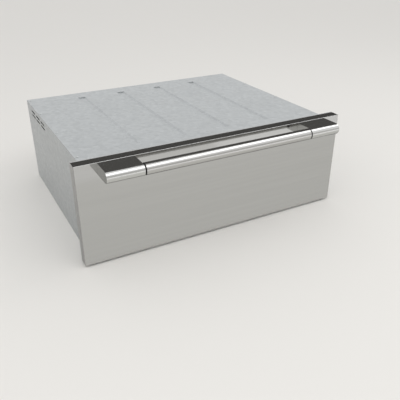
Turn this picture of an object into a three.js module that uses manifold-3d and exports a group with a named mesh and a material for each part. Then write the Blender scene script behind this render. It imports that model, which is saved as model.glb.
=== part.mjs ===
// Built-in warming drawer, 30 inch class: a sheet-steel casing that stands on a shelf, an
// insulated and heated cavity inside it, and a drawer on ball-bearing slides behind a brushed stainless
// front with a bar handle. Millimetres, +Z up. The front faces -Y. The origin is the centre of the
// casing's flat underside.
import * as THREE from "three";
import { mergeVertices } from "three/addons/utils/BufferGeometryUtils.js";
import Module from "manifold-3d";

const wasm = await Module();
wasm.setup();

// -------------------- driving dimensions
const GAP = 0.3; // between two pieces that touch or are screwed together

// Drawer front, measured from the photograph
const FRONT_WIDTH = 756;
const FRONT_HEIGHT = 262.5;
const FRONT_THICKNESS = 32;
const FRONT_SHEET = 1.5;
const FRONT_EDGE_RADIUS = 1.2; // of the folds round the face
const FRONT_LIFT = 4; // lower edge above the shelf
const FRONT_RETURN = 14; // fold behind the front, to which the inner panel is screwed
const INNER_MARGIN = 5; // from the shell's edge to the inner panel's edge
const LEDGE_DEPTH = 16; // the inner panel's ledge, on which the pan's front rim lies

// Bar handle
const HANDLE_LENGTH = 650; // over both brackets
const HANDLE_DIAMETER = 29.2;
const HANDLE_REACH = 50; // from the face to the bar's axis
const HANDLE_DROP = 0.8; // from the front's top edge down to the brackets' flat tops
const HANDLE_WALL = 3;
const BRACKET_WIDTH = 90;
const BRACKET_EDGE = 0.8; // chamfer round the brackets' end faces
const SPIGOT_LENGTH = 20;
const RING_WIDTH = 3;
const RING_STEP = 0.6; // the black rings lie this much below the bar's skin

// Outer casing
const CASING_WIDTH = 710;
const CASING_HEIGHT = 256;
const CASING_DEPTH = 560;
const CASING_SHEET = 1.2;
const CASING_FLANGE = 14;
const BEADS = 4; // pressed stiffening beads in the base and in the top
const BEAD_WIDTH = 24;
const BEAD_HEIGHT = 3;
const BEAD_PITCH = 130;
const BEAD_END = 50; // from the ends of the beads to the sheet's edge
const LOUVRE_LENGTH = 46; // cooling slots in the sides and the back
const LOUVRE_HEIGHT = 5;
const LOUVRE_PITCH = 12;
const FIXING_WIDTH = 14; // how far the frame's stiles reach past the casing, over the edge of its opening
const FIXING_HOLE = 5;
const FIXING_INSET = 56; // from a stile's ends to its screw holes
const FRAME_SHEET = 1.5;
const FRAME_RETURN = 14;

// Heated cavity
const LINER_SHEET = 1;
const LINER_EDGE = 10; // turned-up edges of the floor and turned-down edges of the roof
const SIDE_INSULATION = 15;
const FLOOR_LEVEL = 20; // underside of the cavity floor
const ROOF_DROP = 52; // from the casing's top down to the underside of the cavity roof
const BACK_SPACE = 54; // behind the cavity, for the blanket, the fan motor and the wiring
const BACK_INSULATION = 18;
const ROOF_INSULATION = 10;
const GASKET_WIDTH = 8;
const GASKET_HEIGHT = 6; // closed height, between the frame and the drawer front
const GASKET_CORNER = 14;

// Ball-bearing slides
const SLIDE_LENGTH = 480;
const SLIDE_HEIGHT = 46;
const SLIDE_DEPTH = 12.7;
const SLIDE_LEVEL = 112; // height of the slides' middle
const SLIDE_SETBACK = 8; // slide's front end behind the frame
const SLIDE_SHEET = 1.2;
const CAGE_LENGTH = 240;
const CAGE_SHEET = 0.8;
const BALL_RADIUS = 1.85;
const BALL_CLEARANCE = 0.25;
const BALLS_PER_ROW = 4;

// Drawer frame, pan and rack
const RAIL_SHEET = 1.2;
const RAIL_DROP = 24; // from the cavity roof down to the top of the drawer's frame
const RAIL_REACH = 20; // from the slides' middle down to the lower edge of the drawer's frame
const RAIL_FLANGE = 14;
const RAIL_END = 470; // length of the drawer's frame behind the front
const PAN_SHEET = 1.2;
const PAN_LIFT = 33.5; // from the underside of the cavity floor up to the pan
const PAN_PLAY = 2; // round the pan inside the frame
const PAN_CORNER = 30;
const PAN_FLOOR_RADIUS = 14;
const PAN_TAPER = 5; // how much narrower the floor is than the mouth, on each side
const RACK_WIRE = 5;
const RACK_BAR = 3.2;
const RACK_BARS = 10;
const RACK_MARGIN = 22; // from the pan's floor fillet to the rack
const RACK_HEIGHT = 14;

// Heating element, fan and sensors
const ELEMENT_DIAMETER = 6.5;
const ELEMENT_LEVEL = 36;
const ELEMENT_BEND = 32;
const ELEMENT_MARGIN = 75; // from the cavity's sides to the outer loops
const ELEMENT_PITCH = 75;
const ELEMENT_LEGS = 4; // on each side of the middle, an even number
const TERMINAL_SPACING = 44;
const TERMINAL_WINDOW = 16; // height of the opening round the terminals
const REST_WIDTH = 16; // pressed supports under the element
const FAN_DIAMETER = 104;
const FAN_DEPTH = 14;
const FAN_BLADES = 12;
const FAN_SHAFT = 5;
const FAN_HUB = 18;
const FAN_SHEET = 1;
const BLADE_ROOT = 30; // diameter at which the blades begin
const BLADE_SWEEP = 40; // how far a blade's tip trails its root, in degrees
const FAN_CLEARANCE = 3; // between the wheel and the cavity's back wall
const FAN_COVER_WIDTH = 200;
const FAN_COVER_DROP = 10; // from the cavity roof down to the cover
const FAN_COVER_LIFT = 42; // from the underside of the cavity floor up to the cover
const FAN_COVER_DEPTH = 24;
const FAN_COVER_CORNER = 24;
const GRILLE_ROWS = 6; // slots in the fan's cover
const GRILLE_PITCH = 14;
const GRILLE_SLOT = 5;
const GRILLE_BRIDGE = 8; // left between the two slots of a row
const MOTOR_DIAMETER = 58;
const MOTOR_LENGTH = 26;
const MOTOR_EDGE = 3; // chamfer round the motor's can, and the height of its rear boss
const MOTOR_FOOT = 96; // over the feet of the motor's bracket
const PROBE_DIAMETER = 5;
const PROBE_LENGTH = 60;
const PROBE_NUT = 16; // across the corners
const PROBE_NUT_HEIGHT = 2;
const PROBE_INSET = 145; // from the casing's right side
const PROBE_DROP = 12; // from the cavity roof down to the probe

// Controls, behind the upper part of the drawer front
const PANEL_WIDTH = 240;
const PANEL_HEIGHT = 28;
const PANEL_INSET = 165; // from the casing's right side to the panel's middle
const PANEL_DROP = 23; // from the casing's top down to the panel's middle
const PANEL_RECESS = 20;
const PANEL_SHEET = 1.5;
const PANEL_FLANGE = 4;
const KNOB_DIAMETER = 24;
const KNOB_LENGTH = 14;
const KNOB_PLACE = -62; // from the panel's middle
const KNOB_SKIRT = 2;
const KNOB_TAPER = 4; // how much smaller the grip's end is than the skirt, in radius
const KNOB_FLUTES = 12;
const KNOB_FLUTE = 1.3; // radius of a flute
const POINTER_WIDTH = 1.6;
const POINTER_HEIGHT = 0.8;
const BUTTON_DIAMETER = 13;
const BUTTON_LENGTH = 7;
const BUTTON_TRAVEL = 2.5;
const BUTTON_COLLAR = 2; // width and thickness of the collar that keeps the button in
const BUTTON_PLACE = 48;
const LENS_DIAMETER = 7;
const LENS_REACH = 2; // how far the lens stands out, and how far it reaches in
const LENS_PLACE = 84;
const STEM_DIAMETER = 6; // of the knob's and the button's stems
const STEM_LENGTH = 12; // behind the panel's face
const CONTROL_WIDTH = 176; // electronics behind the panel
const CONTROL_HEIGHT = 26;
const CONTROL_DEPTH = 30;
const SUPPLY_WIDTH = 130; // power supply on the wiring shelf
const SUPPLY_DEPTH = 96;
const SUPPLY_HEIGHT = 26;
const FINS = 6;
const FIN_PITCH = 18;
const SUPPLY_INSET = 165; // from the casing's left side to the supply's middle

// Moisture vent above the pan
const VENT_SLOTS = 6;
const VENT_PITCH = 36;
const VENT_SLOT_WIDTH = 16;
const VENT_SLOT_HEIGHT = 7;
const VENT_DROP = 11; // from the cavity roof down to the vents inside the seal
const SLIDER_SHEET = 1.2; // the strip that closes the vents
const SLIDER_MARGIN = 4;
const SLIDER_TAB = 6; // height and reach of the tab that a finger pushes
const SLIDER_TAB_WIDTH = 9.6;

// Electrical supply on the back
const BOX_WIDTH = 112;
const BOX_HEIGHT = 66;
const BOX_DEPTH = 30;
const BOX_INSET = 119; // from the casing's left side to the box's middle
const BOX_DROP = 60; // from the casing's top down to the box's middle
const BOX_SHEET = 1.5;
const GLAND_DIAMETER = 22;
const GLAND_LENGTH = 26;
const GLAND_WALL = 5;
const GLAND_THREAD = 6; // reach of the thread into the box
const GLAND_HEXAGON = 28; // across the corners
const GLAND_DOME = 4; // height of the clamping nut's rounded end

// -------------------- derived planes
const casingFront = -CASING_DEPTH / 2;
const casingRear = CASING_DEPTH / 2;
const frontBack = casingFront - GASKET_HEIGHT; // rear face of the drawer front's inner panel
const frontFace = frontBack - FRONT_THICKNESS; // the face that shows
const frontTop = FRONT_LIFT + FRONT_HEIGHT;
// Inner face of the liner's sides
const cavityHalf = CASING_WIDTH / 2 - CASING_SHEET - 2 * GAP - SIDE_INSULATION - LINER_SHEET;
const cavityTop = CASING_HEIGHT - ROOF_DROP; // underside of the roof
const linerFront = casingFront + FRAME_SHEET + GAP;
const linerBack = casingRear - BACK_SPACE; // rear face of the cavity's back wall
const slideFront = casingFront + SLIDE_SETBACK;
const railOuter = cavityHalf - GAP - SLIDE_DEPTH - GAP; // outer face of the drawer's side rails
const railLevel = cavityTop - RAIL_DROP; // top of the drawer's frame
const fanCoverBottom = FLOOR_LEVEL + FAN_COVER_LIFT;
const fanCoverTop = cavityTop - FAN_COVER_DROP;
const fanLevel = (fanCoverBottom + fanCoverTop) / 2;
const fanAxis = { x: 0, z: fanLevel };
const probeLevel = cavityTop - PROBE_DROP;
const ventLevel = cavityTop - VENT_DROP;
const panelLevel = CASING_HEIGHT - PANEL_DROP;
const boxLevel = CASING_HEIGHT - BOX_DROP;
const panelCentre = CASING_WIDTH / 2 - PANEL_INSET;
const boxPlace = BOX_INSET - CASING_WIDTH / 2;
const supplyPlace = SUPPLY_INSET - CASING_WIDTH / 2;
const probePlace = CASING_WIDTH / 2 - PROBE_INSET;
const elementSpread = cavityHalf - ELEMENT_MARGIN;

// -------------------- materials
function finish(color, roughness, metalness) {
  return new THREE.MeshStandardMaterial({ color, roughness, metalness });
}

const MATERIALS = {
  brushedSteel: finish(0xb4b2ac, 0.34, 1),
  polishedSteel: finish(0xc9c8c4, 0.2, 1),
  linerSteel: finish(0xbcbdbd, 0.38, 1),
  galvanised: finish(0x9ea3a6, 0.5, 1),
  zincPlated: finish(0xb3b6b5, 0.35, 1),
  hardenedBall: finish(0xd2d4d6, 0.15, 1),
  elementSheath: finish(0x6c6f6a, 0.55, 0.8),
  blackPlastic: finish(0x1b1b1c, 0.5, 0),
  silicone: finish(0x3a3a3b, 0.7, 0),
  glassWool: finish(0xd9c98c, 0.95, 0),
  amberLens: finish(0xd8892c, 0.25, 0),
  motorSteel: finish(0x84878a, 0.45, 0.9),
};

// -------------------- solid helpers
/** A closed three.js geometry as a solid that can be joined and cut. */
function solidOf(geometry) {
  const plain = geometry.index ? geometry.toNonIndexed() : geometry.clone();
  plain.deleteAttribute("normal");
  plain.deleteAttribute("uv");
  const merged = mergeVertices(plain, 1e-4);
  const mesh = new wasm.Mesh({
    numProp: 3,
    vertProperties: new Float32Array(merged.attributes.position.array),
    triVerts: new Uint32Array(merged.index.array),
  });
  return new wasm.Manifold(mesh);
}

function geometryOf(solid) {
  const mesh = solid.getMesh();
  const geometry = new THREE.BufferGeometry();
  geometry.setAttribute("position", new THREE.BufferAttribute(new Float32Array(mesh.vertProperties), 3));
  geometry.setIndex(new THREE.BufferAttribute(new Uint32Array(mesh.triVerts), 1));
  geometry.computeVertexNormals();
  return geometry;
}

const join = (...solids) => solids.flat().reduce((sum, solid) => sum.add(solid));
const cut = (solid, ...tools) => tools.flat().reduce((rest, tool) => rest.subtract(tool), solid);

function block(x0, x1, y0, y1, z0, z1) {
  const box = new THREE.BoxGeometry(x1 - x0, y1 - y0, z1 - z0);
  return solidOf(box.translate((x0 + x1) / 2, (y0 + y1) / 2, (z0 + z1) / 2));
}

/** A shape as it is, or one made from a list of corners. */
function shapeOf(outline) {
  if (outline instanceof THREE.Shape) return outline;
  return new THREE.Shape(outline.map(([u, v]) => new THREE.Vector2(u, v)));
}

function extruded(outline, depth, options = {}) {
  const settings = { depth, bevelEnabled: false, curveSegments: 8, ...options };
  return new THREE.ExtrudeGeometry(shapeOf(outline), settings);
}

/** A (y, z) outline drawn out along X. */
function prismX(outline, x0, x1, options) {
  const turn = new THREE.Matrix4().set(0, 0, 1, x0, 1, 0, 0, 0, 0, 1, 0, 0, 0, 0, 0, 1);
  return solidOf(extruded(outline, x1 - x0, options).applyMatrix4(turn));
}

/** An (x, z) outline drawn out along Y. */
function prismY(outline, y0, y1, options) {
  const turn = new THREE.Matrix4().set(1, 0, 0, 0, 0, 0, -1, y1, 0, 1, 0, 0, 0, 0, 0, 1);
  return solidOf(extruded(outline, y1 - y0, options).applyMatrix4(turn));
}

/** An (x, y) outline drawn out along Z. */
const prismZ = (outline, z0, z1, options) => solidOf(extruded(outline, z1 - z0, options).translate(0, 0, z0));

function rod(axis, radius, from, to, a, b, sides = 24) {
  const length = to - from;
  const cylinder = new THREE.CylinderGeometry(radius, radius, length, sides);
  if (axis === "x") cylinder.rotateZ(-Math.PI / 2).translate(from + length / 2, a, b);
  if (axis === "y") cylinder.translate(a, from + length / 2, b);
  if (axis === "z") cylinder.rotateX(Math.PI / 2).translate(a, b, from + length / 2);
  return solidOf(cylinder);
}

/** A closed profile of [radius, height] turned about the Z axis through the local origin. */
function turned(profile, sides = 24) {
  const points = profile.map(([r, z]) => new THREE.Vector2(r, z));
  return solidOf(new THREE.LatheGeometry(points, sides).rotateX(Math.PI / 2));
}

function roundedRectangle(x0, x1, y0, y1, radius) {
  const shape = new THREE.Shape();
  shape.moveTo(x0 + radius, y0);
  shape.lineTo(x1 - radius, y0);
  shape.absarc(x1 - radius, y0 + radius, radius, -Math.PI / 2, 0, false);
  shape.lineTo(x1, y1 - radius);
  shape.absarc(x1 - radius, y1 - radius, radius, 0, Math.PI / 2, false);
  shape.lineTo(x0 + radius, y1);
  shape.absarc(x0 + radius, y1 - radius, radius, Math.PI / 2, Math.PI, false);
  shape.lineTo(x0, y0 + radius);
  shape.absarc(x0 + radius, y0 + radius, radius, Math.PI, 1.5 * Math.PI, false);
  return shape;
}

/** A slot with round ends, long along its first coordinate. */
function slotShape(u, v, length, height) {
  const reach = (length - height) / 2;
  const shape = new THREE.Shape();
  shape.absarc(u + reach, v, height / 2, -Math.PI / 2, Math.PI / 2, false);
  shape.absarc(u - reach, v, height / 2, Math.PI / 2, 1.5 * Math.PI, false);
  return shape;
}

/** Rounded rectangles of the same number of points, one above the other, skinned into a closed solid. */
function loft(rings, cornerSteps = 4) {
  const outlines = rings.map(({ halfX, halfY, radius, z }) => {
    const points = [];
    const corners = [[1, 1], [-1, 1], [-1, -1], [1, -1]];
    corners.forEach(([sx, sy], quarter) => {
      for (let step = 0; step <= cornerSteps; step++) {
        const angle = (quarter + step / cornerSteps) * (Math.PI / 2);
        const x = sx * (halfX - radius) + radius * Math.cos(angle);
        const y = sy * (halfY - radius) + radius * Math.sin(angle);
        points.push([x, y, z]);
      }
    });
    return points;
  });
  const count = outlines[0].length;
  const positions = outlines.flat(2);
  const faces = [];
  for (let ring = 0; ring + 1 < outlines.length; ring++) {
    for (let i = 0; i < count; i++) {
      const a = ring * count + i;
      const b = ring * count + ((i + 1) % count);
      faces.push(a, b, b + count, a, b + count, a + count);
    }
  }
  const last = (outlines.length - 1) * count;
  for (let i = 1; i + 1 < count; i++) {
    faces.push(0, i + 1, i);
    faces.push(last, last + i, last + i + 1);
  }
  const geometry = new THREE.BufferGeometry();
  geometry.setAttribute("position", new THREE.Float32BufferAttribute(positions, 3));
  geometry.setIndex(faces);
  return solidOf(geometry);
}

/** A line through corner points, with rounded corners; a tube along it has a ring at each station. */
class BentLine extends THREE.Curve {
  constructor(corners, radius, cornerSteps) {
    super();
    const stations = [corners[0]];
    for (let i = 1; i + 1 < corners.length; i++) {
      const corner = corners[i];
      const toPrevious = corners[i - 1].clone().sub(corner).normalize();
      const toNext = corners[i + 1].clone().sub(corner).normalize();
      const half = toPrevious.angleTo(toNext) / 2;
      const inset = radius / Math.tan(half);
      const bisector = toPrevious.clone().add(toNext).normalize();
      const centre = bisector.multiplyScalar(radius / Math.sin(half)).add(corner);
      const start = toPrevious.clone().multiplyScalar(inset).add(corner).sub(centre);
      const finish = toNext.clone().multiplyScalar(inset).add(corner).sub(centre);
      const sweep = start.angleTo(finish);
      for (let step = 0; step <= cornerSteps; step++) {
        const share = step / cornerSteps;
        const a = Math.sin((1 - share) * sweep) / Math.sin(sweep);
        const b = Math.sin(share * sweep) / Math.sin(sweep);
        stations.push(start.clone().multiplyScalar(a).addScaledVector(finish, b).add(centre));
      }
    }
    stations.push(corners.at(-1));
    this.stations = stations;
  }

  getPoint(t) {
    const place = t * (this.stations.length - 1);
    const index = Math.min(Math.floor(place + 1e-9), this.stations.length - 2);
    return this.stations[index].clone().lerp(this.stations[index + 1], place - index);
  }

  getPointAt(u) {
    return this.getPoint(u);
  }

  getTangentAt(u) {
    const last = this.stations.length - 1;
    const index = Math.round(u * last);
    const before = this.stations[Math.max(index - 1, 0)];
    const after = this.stations[Math.min(index + 1, last)];
    return after.clone().sub(before).normalize();
  }
}

/** A round wire or tube along a bent line. */
function wire(corners, diameter, radius, sides = 8, cornerSteps = 4) {
  const path = new BentLine(corners.map(([x, y, z]) => new THREE.Vector3(x, y, z)), radius, cornerSteps);
  const section = new THREE.Shape();
  section.absarc(0, 0, diameter / 2, 0, 2 * Math.PI, false);
  const steps = path.stations.length - 1;
  const options = { steps, extrudePath: path, bevelEnabled: false, curveSegments: sides / 2 };
  return solidOf(new THREE.ExtrudeGeometry(section, options));
}

/** Even places for a number of copies, centred on zero. */
const spread = (count, pitch) => Array.from({ length: count }, (_, i) => (i - (count - 1) / 2) * pitch);

const SIDES = [["left", -1], ["right", 1]];

const product = new THREE.Group();
const casing = new THREE.Group();
const drawer = new THREE.Group();
product.add(casing, drawer);

/** Puts a named piece into a group; at is where its own origin goes. */
function piece(group, name, solid, material, at = [0, 0, 0]) {
  const mesh = new THREE.Mesh(geometryOf(solid), material);
  mesh.name = name;
  mesh.position.set(...at);
  group.add(mesh);
  return mesh;
}

// -------------------- outer casing
/** A pressed bead along Y, as an (x, z) outline that stands on the plane z, with a root below it. */
function beadOutline(x, z, sign, root) {
  const foot = BEAD_WIDTH / 2;
  const crown = foot - BEAD_HEIGHT;
  const top = z + sign * BEAD_HEIGHT;
  const base = z - sign * root;
  const outline = [
    [x - foot, base], [x + foot, base], [x + foot, z],
    [x + crown, top], [x - crown, top], [x - foot, z],
  ];
  return sign > 0 ? outline : outline.reverse();
}

/** A flat sheet of the casing, pressed with beads that rise from it by their height, up or down. */
function beadedSheet(z0, sign) {
  const z1 = z0 + CASING_SHEET;
  const face = sign > 0 ? z1 : z0;
  const back = sign > 0 ? z0 : z1;
  const y0 = casingFront + BEAD_END;
  const y1 = casingRear - BEAD_END;
  const root = CASING_SHEET / 2;
  const sheet = block(-CASING_WIDTH / 2, CASING_WIDTH / 2, casingFront, casingRear, z0, z1);
  const places = spread(BEADS, BEAD_PITCH);
  const ribs = places.map((x) => prismY(beadOutline(x, face, sign, root), y0, y1));
  const hollows = places.map((x) => {
    return prismY(beadOutline(x, back, sign, root), y0 + CASING_SHEET, y1 - CASING_SHEET);
  });
  return cut(join(sheet, ribs), hollows);
}

/** A side of the casing, for x > 0: a plate with four folded flanges, and vent slots near the top. */
function sidePanel() {
  const outer = CASING_WIDTH / 2;
  const inner = outer - CASING_SHEET;
  const y0 = linerFront;
  const y1 = casingRear;
  const z0 = CASING_SHEET + GAP;
  const z1 = CASING_HEIGHT - CASING_SHEET - GAP;
  const plate = block(inner, outer, y0, y1, z0, z1);
  const flanges = [
    block(outer - CASING_FLANGE, outer, y0, y0 + CASING_SHEET, z0, z1),
    block(outer - CASING_FLANGE, outer, y0, y1, z0, z0 + CASING_SHEET),
    block(outer - CASING_FLANGE, outer, y0, y1, z1 - CASING_SHEET, z1),
    block(outer - CASING_FLANGE, outer, y1 - CASING_SHEET, y1, z0, z1),
  ];
  const louvres = [];
  for (const y of spread(3, LOUVRE_LENGTH + LOUVRE_PITCH)) {
    for (const z of spread(2, LOUVRE_PITCH)) {
      const outline = slotShape(y + casingRear / 2, z + panelLevel, LOUVRE_LENGTH, LOUVRE_HEIGHT);
      louvres.push(prismX(outline, inner - 1, outer + 1, { curveSegments: 2 }));
    }
  }
  return cut(join(plate, flanges), louvres);
}

/** The back of the casing, between the side panels' flanges, with cooling louvres round the motor. */
function rearPanel() {
  const half = CASING_WIDTH / 2 - CASING_FLANGE - GAP;
  const z0 = CASING_SHEET + GAP;
  const z1 = CASING_HEIGHT - CASING_SHEET - GAP;
  const y1 = casingRear;
  const plate = block(-half, half, y1 - CASING_SHEET, y1, z0, z1);
  const flanges = [
    block(-half, half, y1 - CASING_FLANGE, y1, z0, z0 + CASING_SHEET),
    block(-half, half, y1 - CASING_FLANGE, y1, z1 - CASING_SHEET, z1),
  ];
  const louvres = [];
  for (const x of spread(2, 2 * LOUVRE_LENGTH)) {
    for (const z of spread(7, LOUVRE_PITCH)) {
      const outline = slotShape(x, z + fanLevel, LOUVRE_LENGTH, LOUVRE_HEIGHT);
      louvres.push(prismY(outline, y1 - CASING_FLANGE, y1 + 1, { curveSegments: 2 }));
    }
  }
  const wireHole = rod("y", GLAND_DIAMETER / 2, y1 - CASING_FLANGE, y1 + 1, boxPlace, boxLevel, 16);
  return cut(join(plate, flanges), louvres, wireHole);
}

/** One upright of the front frame, for x > 0: it edges the opening and laps over the side of the cut-out. */
function frameStile() {
  const z0 = CASING_SHEET + GAP;
  const z1 = CASING_HEIGHT - CASING_SHEET - GAP;
  const inner = cavityHalf;
  const outer = CASING_WIDTH / 2 + FIXING_WIDTH;
  const plate = block(inner, outer, casingFront, casingFront + FRAME_SHEET, z0, z1);
  const foldInner = cavityHalf + LINER_SHEET + GAP;
  const fold = block(foldInner, foldInner + FRAME_SHEET, casingFront, casingFront + FRAME_RETURN, z0, z1);
  const holeX = outer - FIXING_WIDTH / 2;
  const holes = [z0 + FIXING_INSET, z1 - FIXING_INSET].map((z) =>
    rod("y", FIXING_HOLE / 2, casingFront - 1, casingFront + FRAME_SHEET + 1, holeX, z, 12),
  );
  return cut(join(plate, fold), holes);
}

/** A folded channel across the front, open to the back, from z0 to z1. */
function frameChannel(z0, z1) {
  const half = cavityHalf - GAP;
  const back = casingFront + FRAME_RETURN;
  const inside = casingFront + FRAME_SHEET;
  const outline = [
    [casingFront, z0], [back, z0], [back, z0 + FRAME_SHEET], [inside, z0 + FRAME_SHEET],
    [inside, z1 - FRAME_SHEET], [back, z1 - FRAME_SHEET], [back, z1], [casingFront, z1],
  ];
  return prismX(outline, -half, half);
}

const sillTop = FLOOR_LEVEL - GAP;
const headerBottom = cavityTop + LINER_SHEET + GAP;
const headerTop = CASING_HEIGHT - CASING_SHEET - GAP;
const panelLeft = panelCentre - PANEL_WIDTH / 2;
const panelRight = panelCentre + PANEL_WIDTH / 2;
const panelLow = panelLevel - PANEL_HEIGHT / 2;
const panelHigh = panelLevel + PANEL_HEIGHT / 2;

function frameHeader() {
  const outline = roundedRectangle(panelLeft, panelRight, panelLow, panelHigh, 4);
  const window = prismY(outline, casingFront - 1, casingFront + FRAME_SHEET + 1, { curveSegments: 3 });
  return cut(frameChannel(headerBottom, headerTop), window);
}

/** The drawer seal: a flat-backed silicone loop on the frame. */
function drawerGasket() {
  const low = (CASING_SHEET + sillTop) / 2;
  const high = (headerBottom + panelLow) / 2;
  const middle = (low + high) / 2;
  const halfX = cavityHalf + GASKET_WIDTH;
  const halfZ = (high - low) / 2;
  const ring = (offset) => {
    const reach = halfX + offset;
    const rise = halfZ + offset;
    return roundedRectangle(-reach, reach, middle - rise, middle + rise, GASKET_CORNER + offset);
  };
  const half = GASKET_WIDTH / 2;
  const y0 = frontBack + GAP;
  const y1 = casingFront - GAP;
  const curve = { curveSegments: 2 };
  const groove = (y0 + y1) / 2;
  const body = cut(prismY(ring(half), y0, y1, curve), prismY(ring(-half), y0 - 1, y1 + 1, curve));
  const lip = cut(prismY(ring(half / 3), y0 - 1, groove, curve), prismY(ring(-half / 3), y0 - 2, y1, curve));
  return body.subtract(lip);
}

piece(casing, "base_pan", beadedSheet(0, 1), MATERIALS.galvanised);
piece(casing, "top_cover", beadedSheet(CASING_HEIGHT - CASING_SHEET, -1), MATERIALS.galvanised);
piece(casing, "rear_panel", rearPanel(), MATERIALS.galvanised);
piece(casing, "frame_sill", frameChannel(CASING_SHEET + GAP, sillTop), MATERIALS.linerSteel);
piece(casing, "frame_header", frameHeader(), MATERIALS.linerSteel);
piece(casing, "drawer_gasket", drawerGasket(), MATERIALS.silicone);
for (const [side, sign] of SIDES) {
  const mirrored = new THREE.Group();
  mirrored.scale.x = sign;
  casing.add(mirrored);
  piece(mirrored, `side_panel_${side}`, sidePanel(), MATERIALS.galvanised);
  piece(mirrored, `frame_stile_${side}`, frameStile(), MATERIALS.linerSteel);
}

// -------------------- heated cavity
const floorTop = FLOOR_LEVEL + LINER_SHEET;
const plateHalf = cavityHalf - GAP; // half width of what lies between the cavity's sides
const wallFront = linerBack - LINER_SHEET; // inner face of the cavity's back wall
const elementRear = wallFront - 2 * ELEMENT_BEND;
const elementFront = casingFront + 2 * ELEMENT_BEND;

/** A hat-shaped support across the floor; the element's tube lies in its notches. */
function elementRest(y) {
  const top = ELEMENT_LEVEL - ELEMENT_DIAMETER / 2 - GAP;
  const foot = REST_WIDTH / 2;
  const base = floorTop - LINER_SHEET / 2;
  const outline = [[y - foot, base], [y + foot, base], [y + foot / 2, top], [y - foot / 2, top]];
  return prismX(outline, -elementSpread - REST_WIDTH, elementSpread + REST_WIDTH);
}

/** The cavity's floor or roof: a sheet with its side edges turned up (sign 1) or down (sign -1). */
function linerTray(face, sign) {
  const y1 = wallFront - GAP;
  const out = face - sign * LINER_SHEET;
  const edge = face + sign * LINER_EDGE;
  const x = plateHalf - LINER_SHEET;
  const outline = [
    [-plateHalf, out], [plateHalf, out], [plateHalf, edge], [x, edge],
    [x, face], [-x, face], [-x, edge], [-plateHalf, edge],
  ];
  return prismY(sign > 0 ? outline : outline.reverse(), linerFront, y1);
}

function cavityFloor() {
  const third = (elementRear - elementFront) / 3;
  const rests = [elementFront + third / 2, elementRear - third / 2].map((y) => elementRest(y));
  return join(linerTray(floorTop, 1), rests);
}

function cavityBack() {
  const plate = block(-plateHalf, plateHalf, wallFront, linerBack, FLOOR_LEVEL, cavityTop + LINER_SHEET);
  const hole = (radius, x, z, sides) => rod("y", radius, wallFront - 1, linerBack + 1, x, z, sides);
  const shaftHole = hole(FAN_SHAFT / 2 + 3, fanAxis.x, fanAxis.z, 16);
  const terminalHoles = [-1, 1].map((sign) => {
    return hole(ELEMENT_DIAMETER / 2 + GAP, (sign * TERMINAL_SPACING) / 2, ELEMENT_LEVEL, 16);
  });
  const probeHole = hole(PROBE_DIAMETER / 2 + GAP, probePlace, probeLevel, 12);
  return cut(plate, shaftHole, terminalHoles, probeHole);
}

/** A side wall of the cavity, for x > 0. */
function cavitySide() {
  const top = cavityTop + LINER_SHEET;
  return block(cavityHalf, cavityHalf + LINER_SHEET, linerFront, linerBack, FLOOR_LEVEL, top);
}

/** The sheathed element: loops over the floor from one terminal to the other, evenly to both sides. */
function heatingElement() {
  const returnLine = elementRear - 2 * ELEMENT_BEND;
  const half = [
    [TERMINAL_SPACING / 2, linerBack + BACK_INSULATION + GAP],
    [TERMINAL_SPACING / 2, elementRear],
    [elementSpread, elementRear],
  ];
  for (let leg = 0; leg < ELEMENT_LEGS; leg++) {
    const x = elementSpread - leg * ELEMENT_PITCH;
    const ends = leg % 2 === 0 ? [elementFront] : [elementFront, returnLine];
    if (leg > 0 && leg % 2 === 0) half.push([x, returnLine]);
    for (const y of ends) half.push([x, y]);
  }
  const left = half.map(([x, y]) => [-x, y, ELEMENT_LEVEL]);
  const right = half.map(([x, y]) => [x, y, ELEMENT_LEVEL]).reverse();
  return wire([...left, ...right], ELEMENT_DIAMETER, ELEMENT_BEND, 6, 3);
}

/** A pressed cover over the fan with a ring of air slots round an intake grille. */
function fanCover() {
  const halfX = FAN_COVER_WIDTH / 2;
  const halfZ = (fanCoverTop - fanCoverBottom) / 2;
  const y1 = wallFront - GAP;
  const y0 = y1 - FAN_COVER_DEPTH;
  const sheet = LINER_SHEET;
  const outline = (inset) => {
    const x = halfX - inset;
    const z = halfZ - inset;
    return roundedRectangle(-x, x, fanLevel - z, fanLevel + z, FAN_COVER_CORNER - inset);
  };
  const pressing = prismY(outline(0), y0, y1, { curveSegments: 4 });
  const shell = cut(pressing, prismY(outline(sheet), y0 + sheet, y1 + 1, { curveSegments: 4 }));
  const slots = [];
  for (const z of spread(GRILLE_ROWS, GRILLE_PITCH)) {
    const chord = 2 * Math.sqrt(Math.max((FAN_DIAMETER / 2) ** 2 - z ** 2, 0)) - GRILLE_PITCH;
    for (const sign of [-1, 1]) {
      const length = chord / 2 - GRILLE_BRIDGE / 2;
      const middle = sign * (GRILLE_BRIDGE / 2 + length / 2);
      const slot = slotShape(middle, fanLevel + z, length, GRILLE_SLOT);
      slots.push(prismY(slot, y0 - 1, y0 + sheet + 1, { curveSegments: 2 }));
    }
  }
  for (const z of spread(GRILLE_ROWS / 2, 2 * GRILLE_PITCH)) {
    for (const sign of [-1, 1]) {
      const outline = slotShape(y0 + FAN_COVER_DEPTH / 2, fanLevel + z, FAN_COVER_DEPTH / 2, GRILLE_SLOT);
      const x = sign * halfX;
      slots.push(prismX(outline, x - 2 * sheet, x + 2 * sheet, { curveSegments: 2 }));
    }
  }
  return cut(shell, slots);
}

const motorFront = linerBack + BACK_INSULATION + GAP;
const fanBack = wallFront - FAN_CLEARANCE; // rear face of the fan's disc

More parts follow.
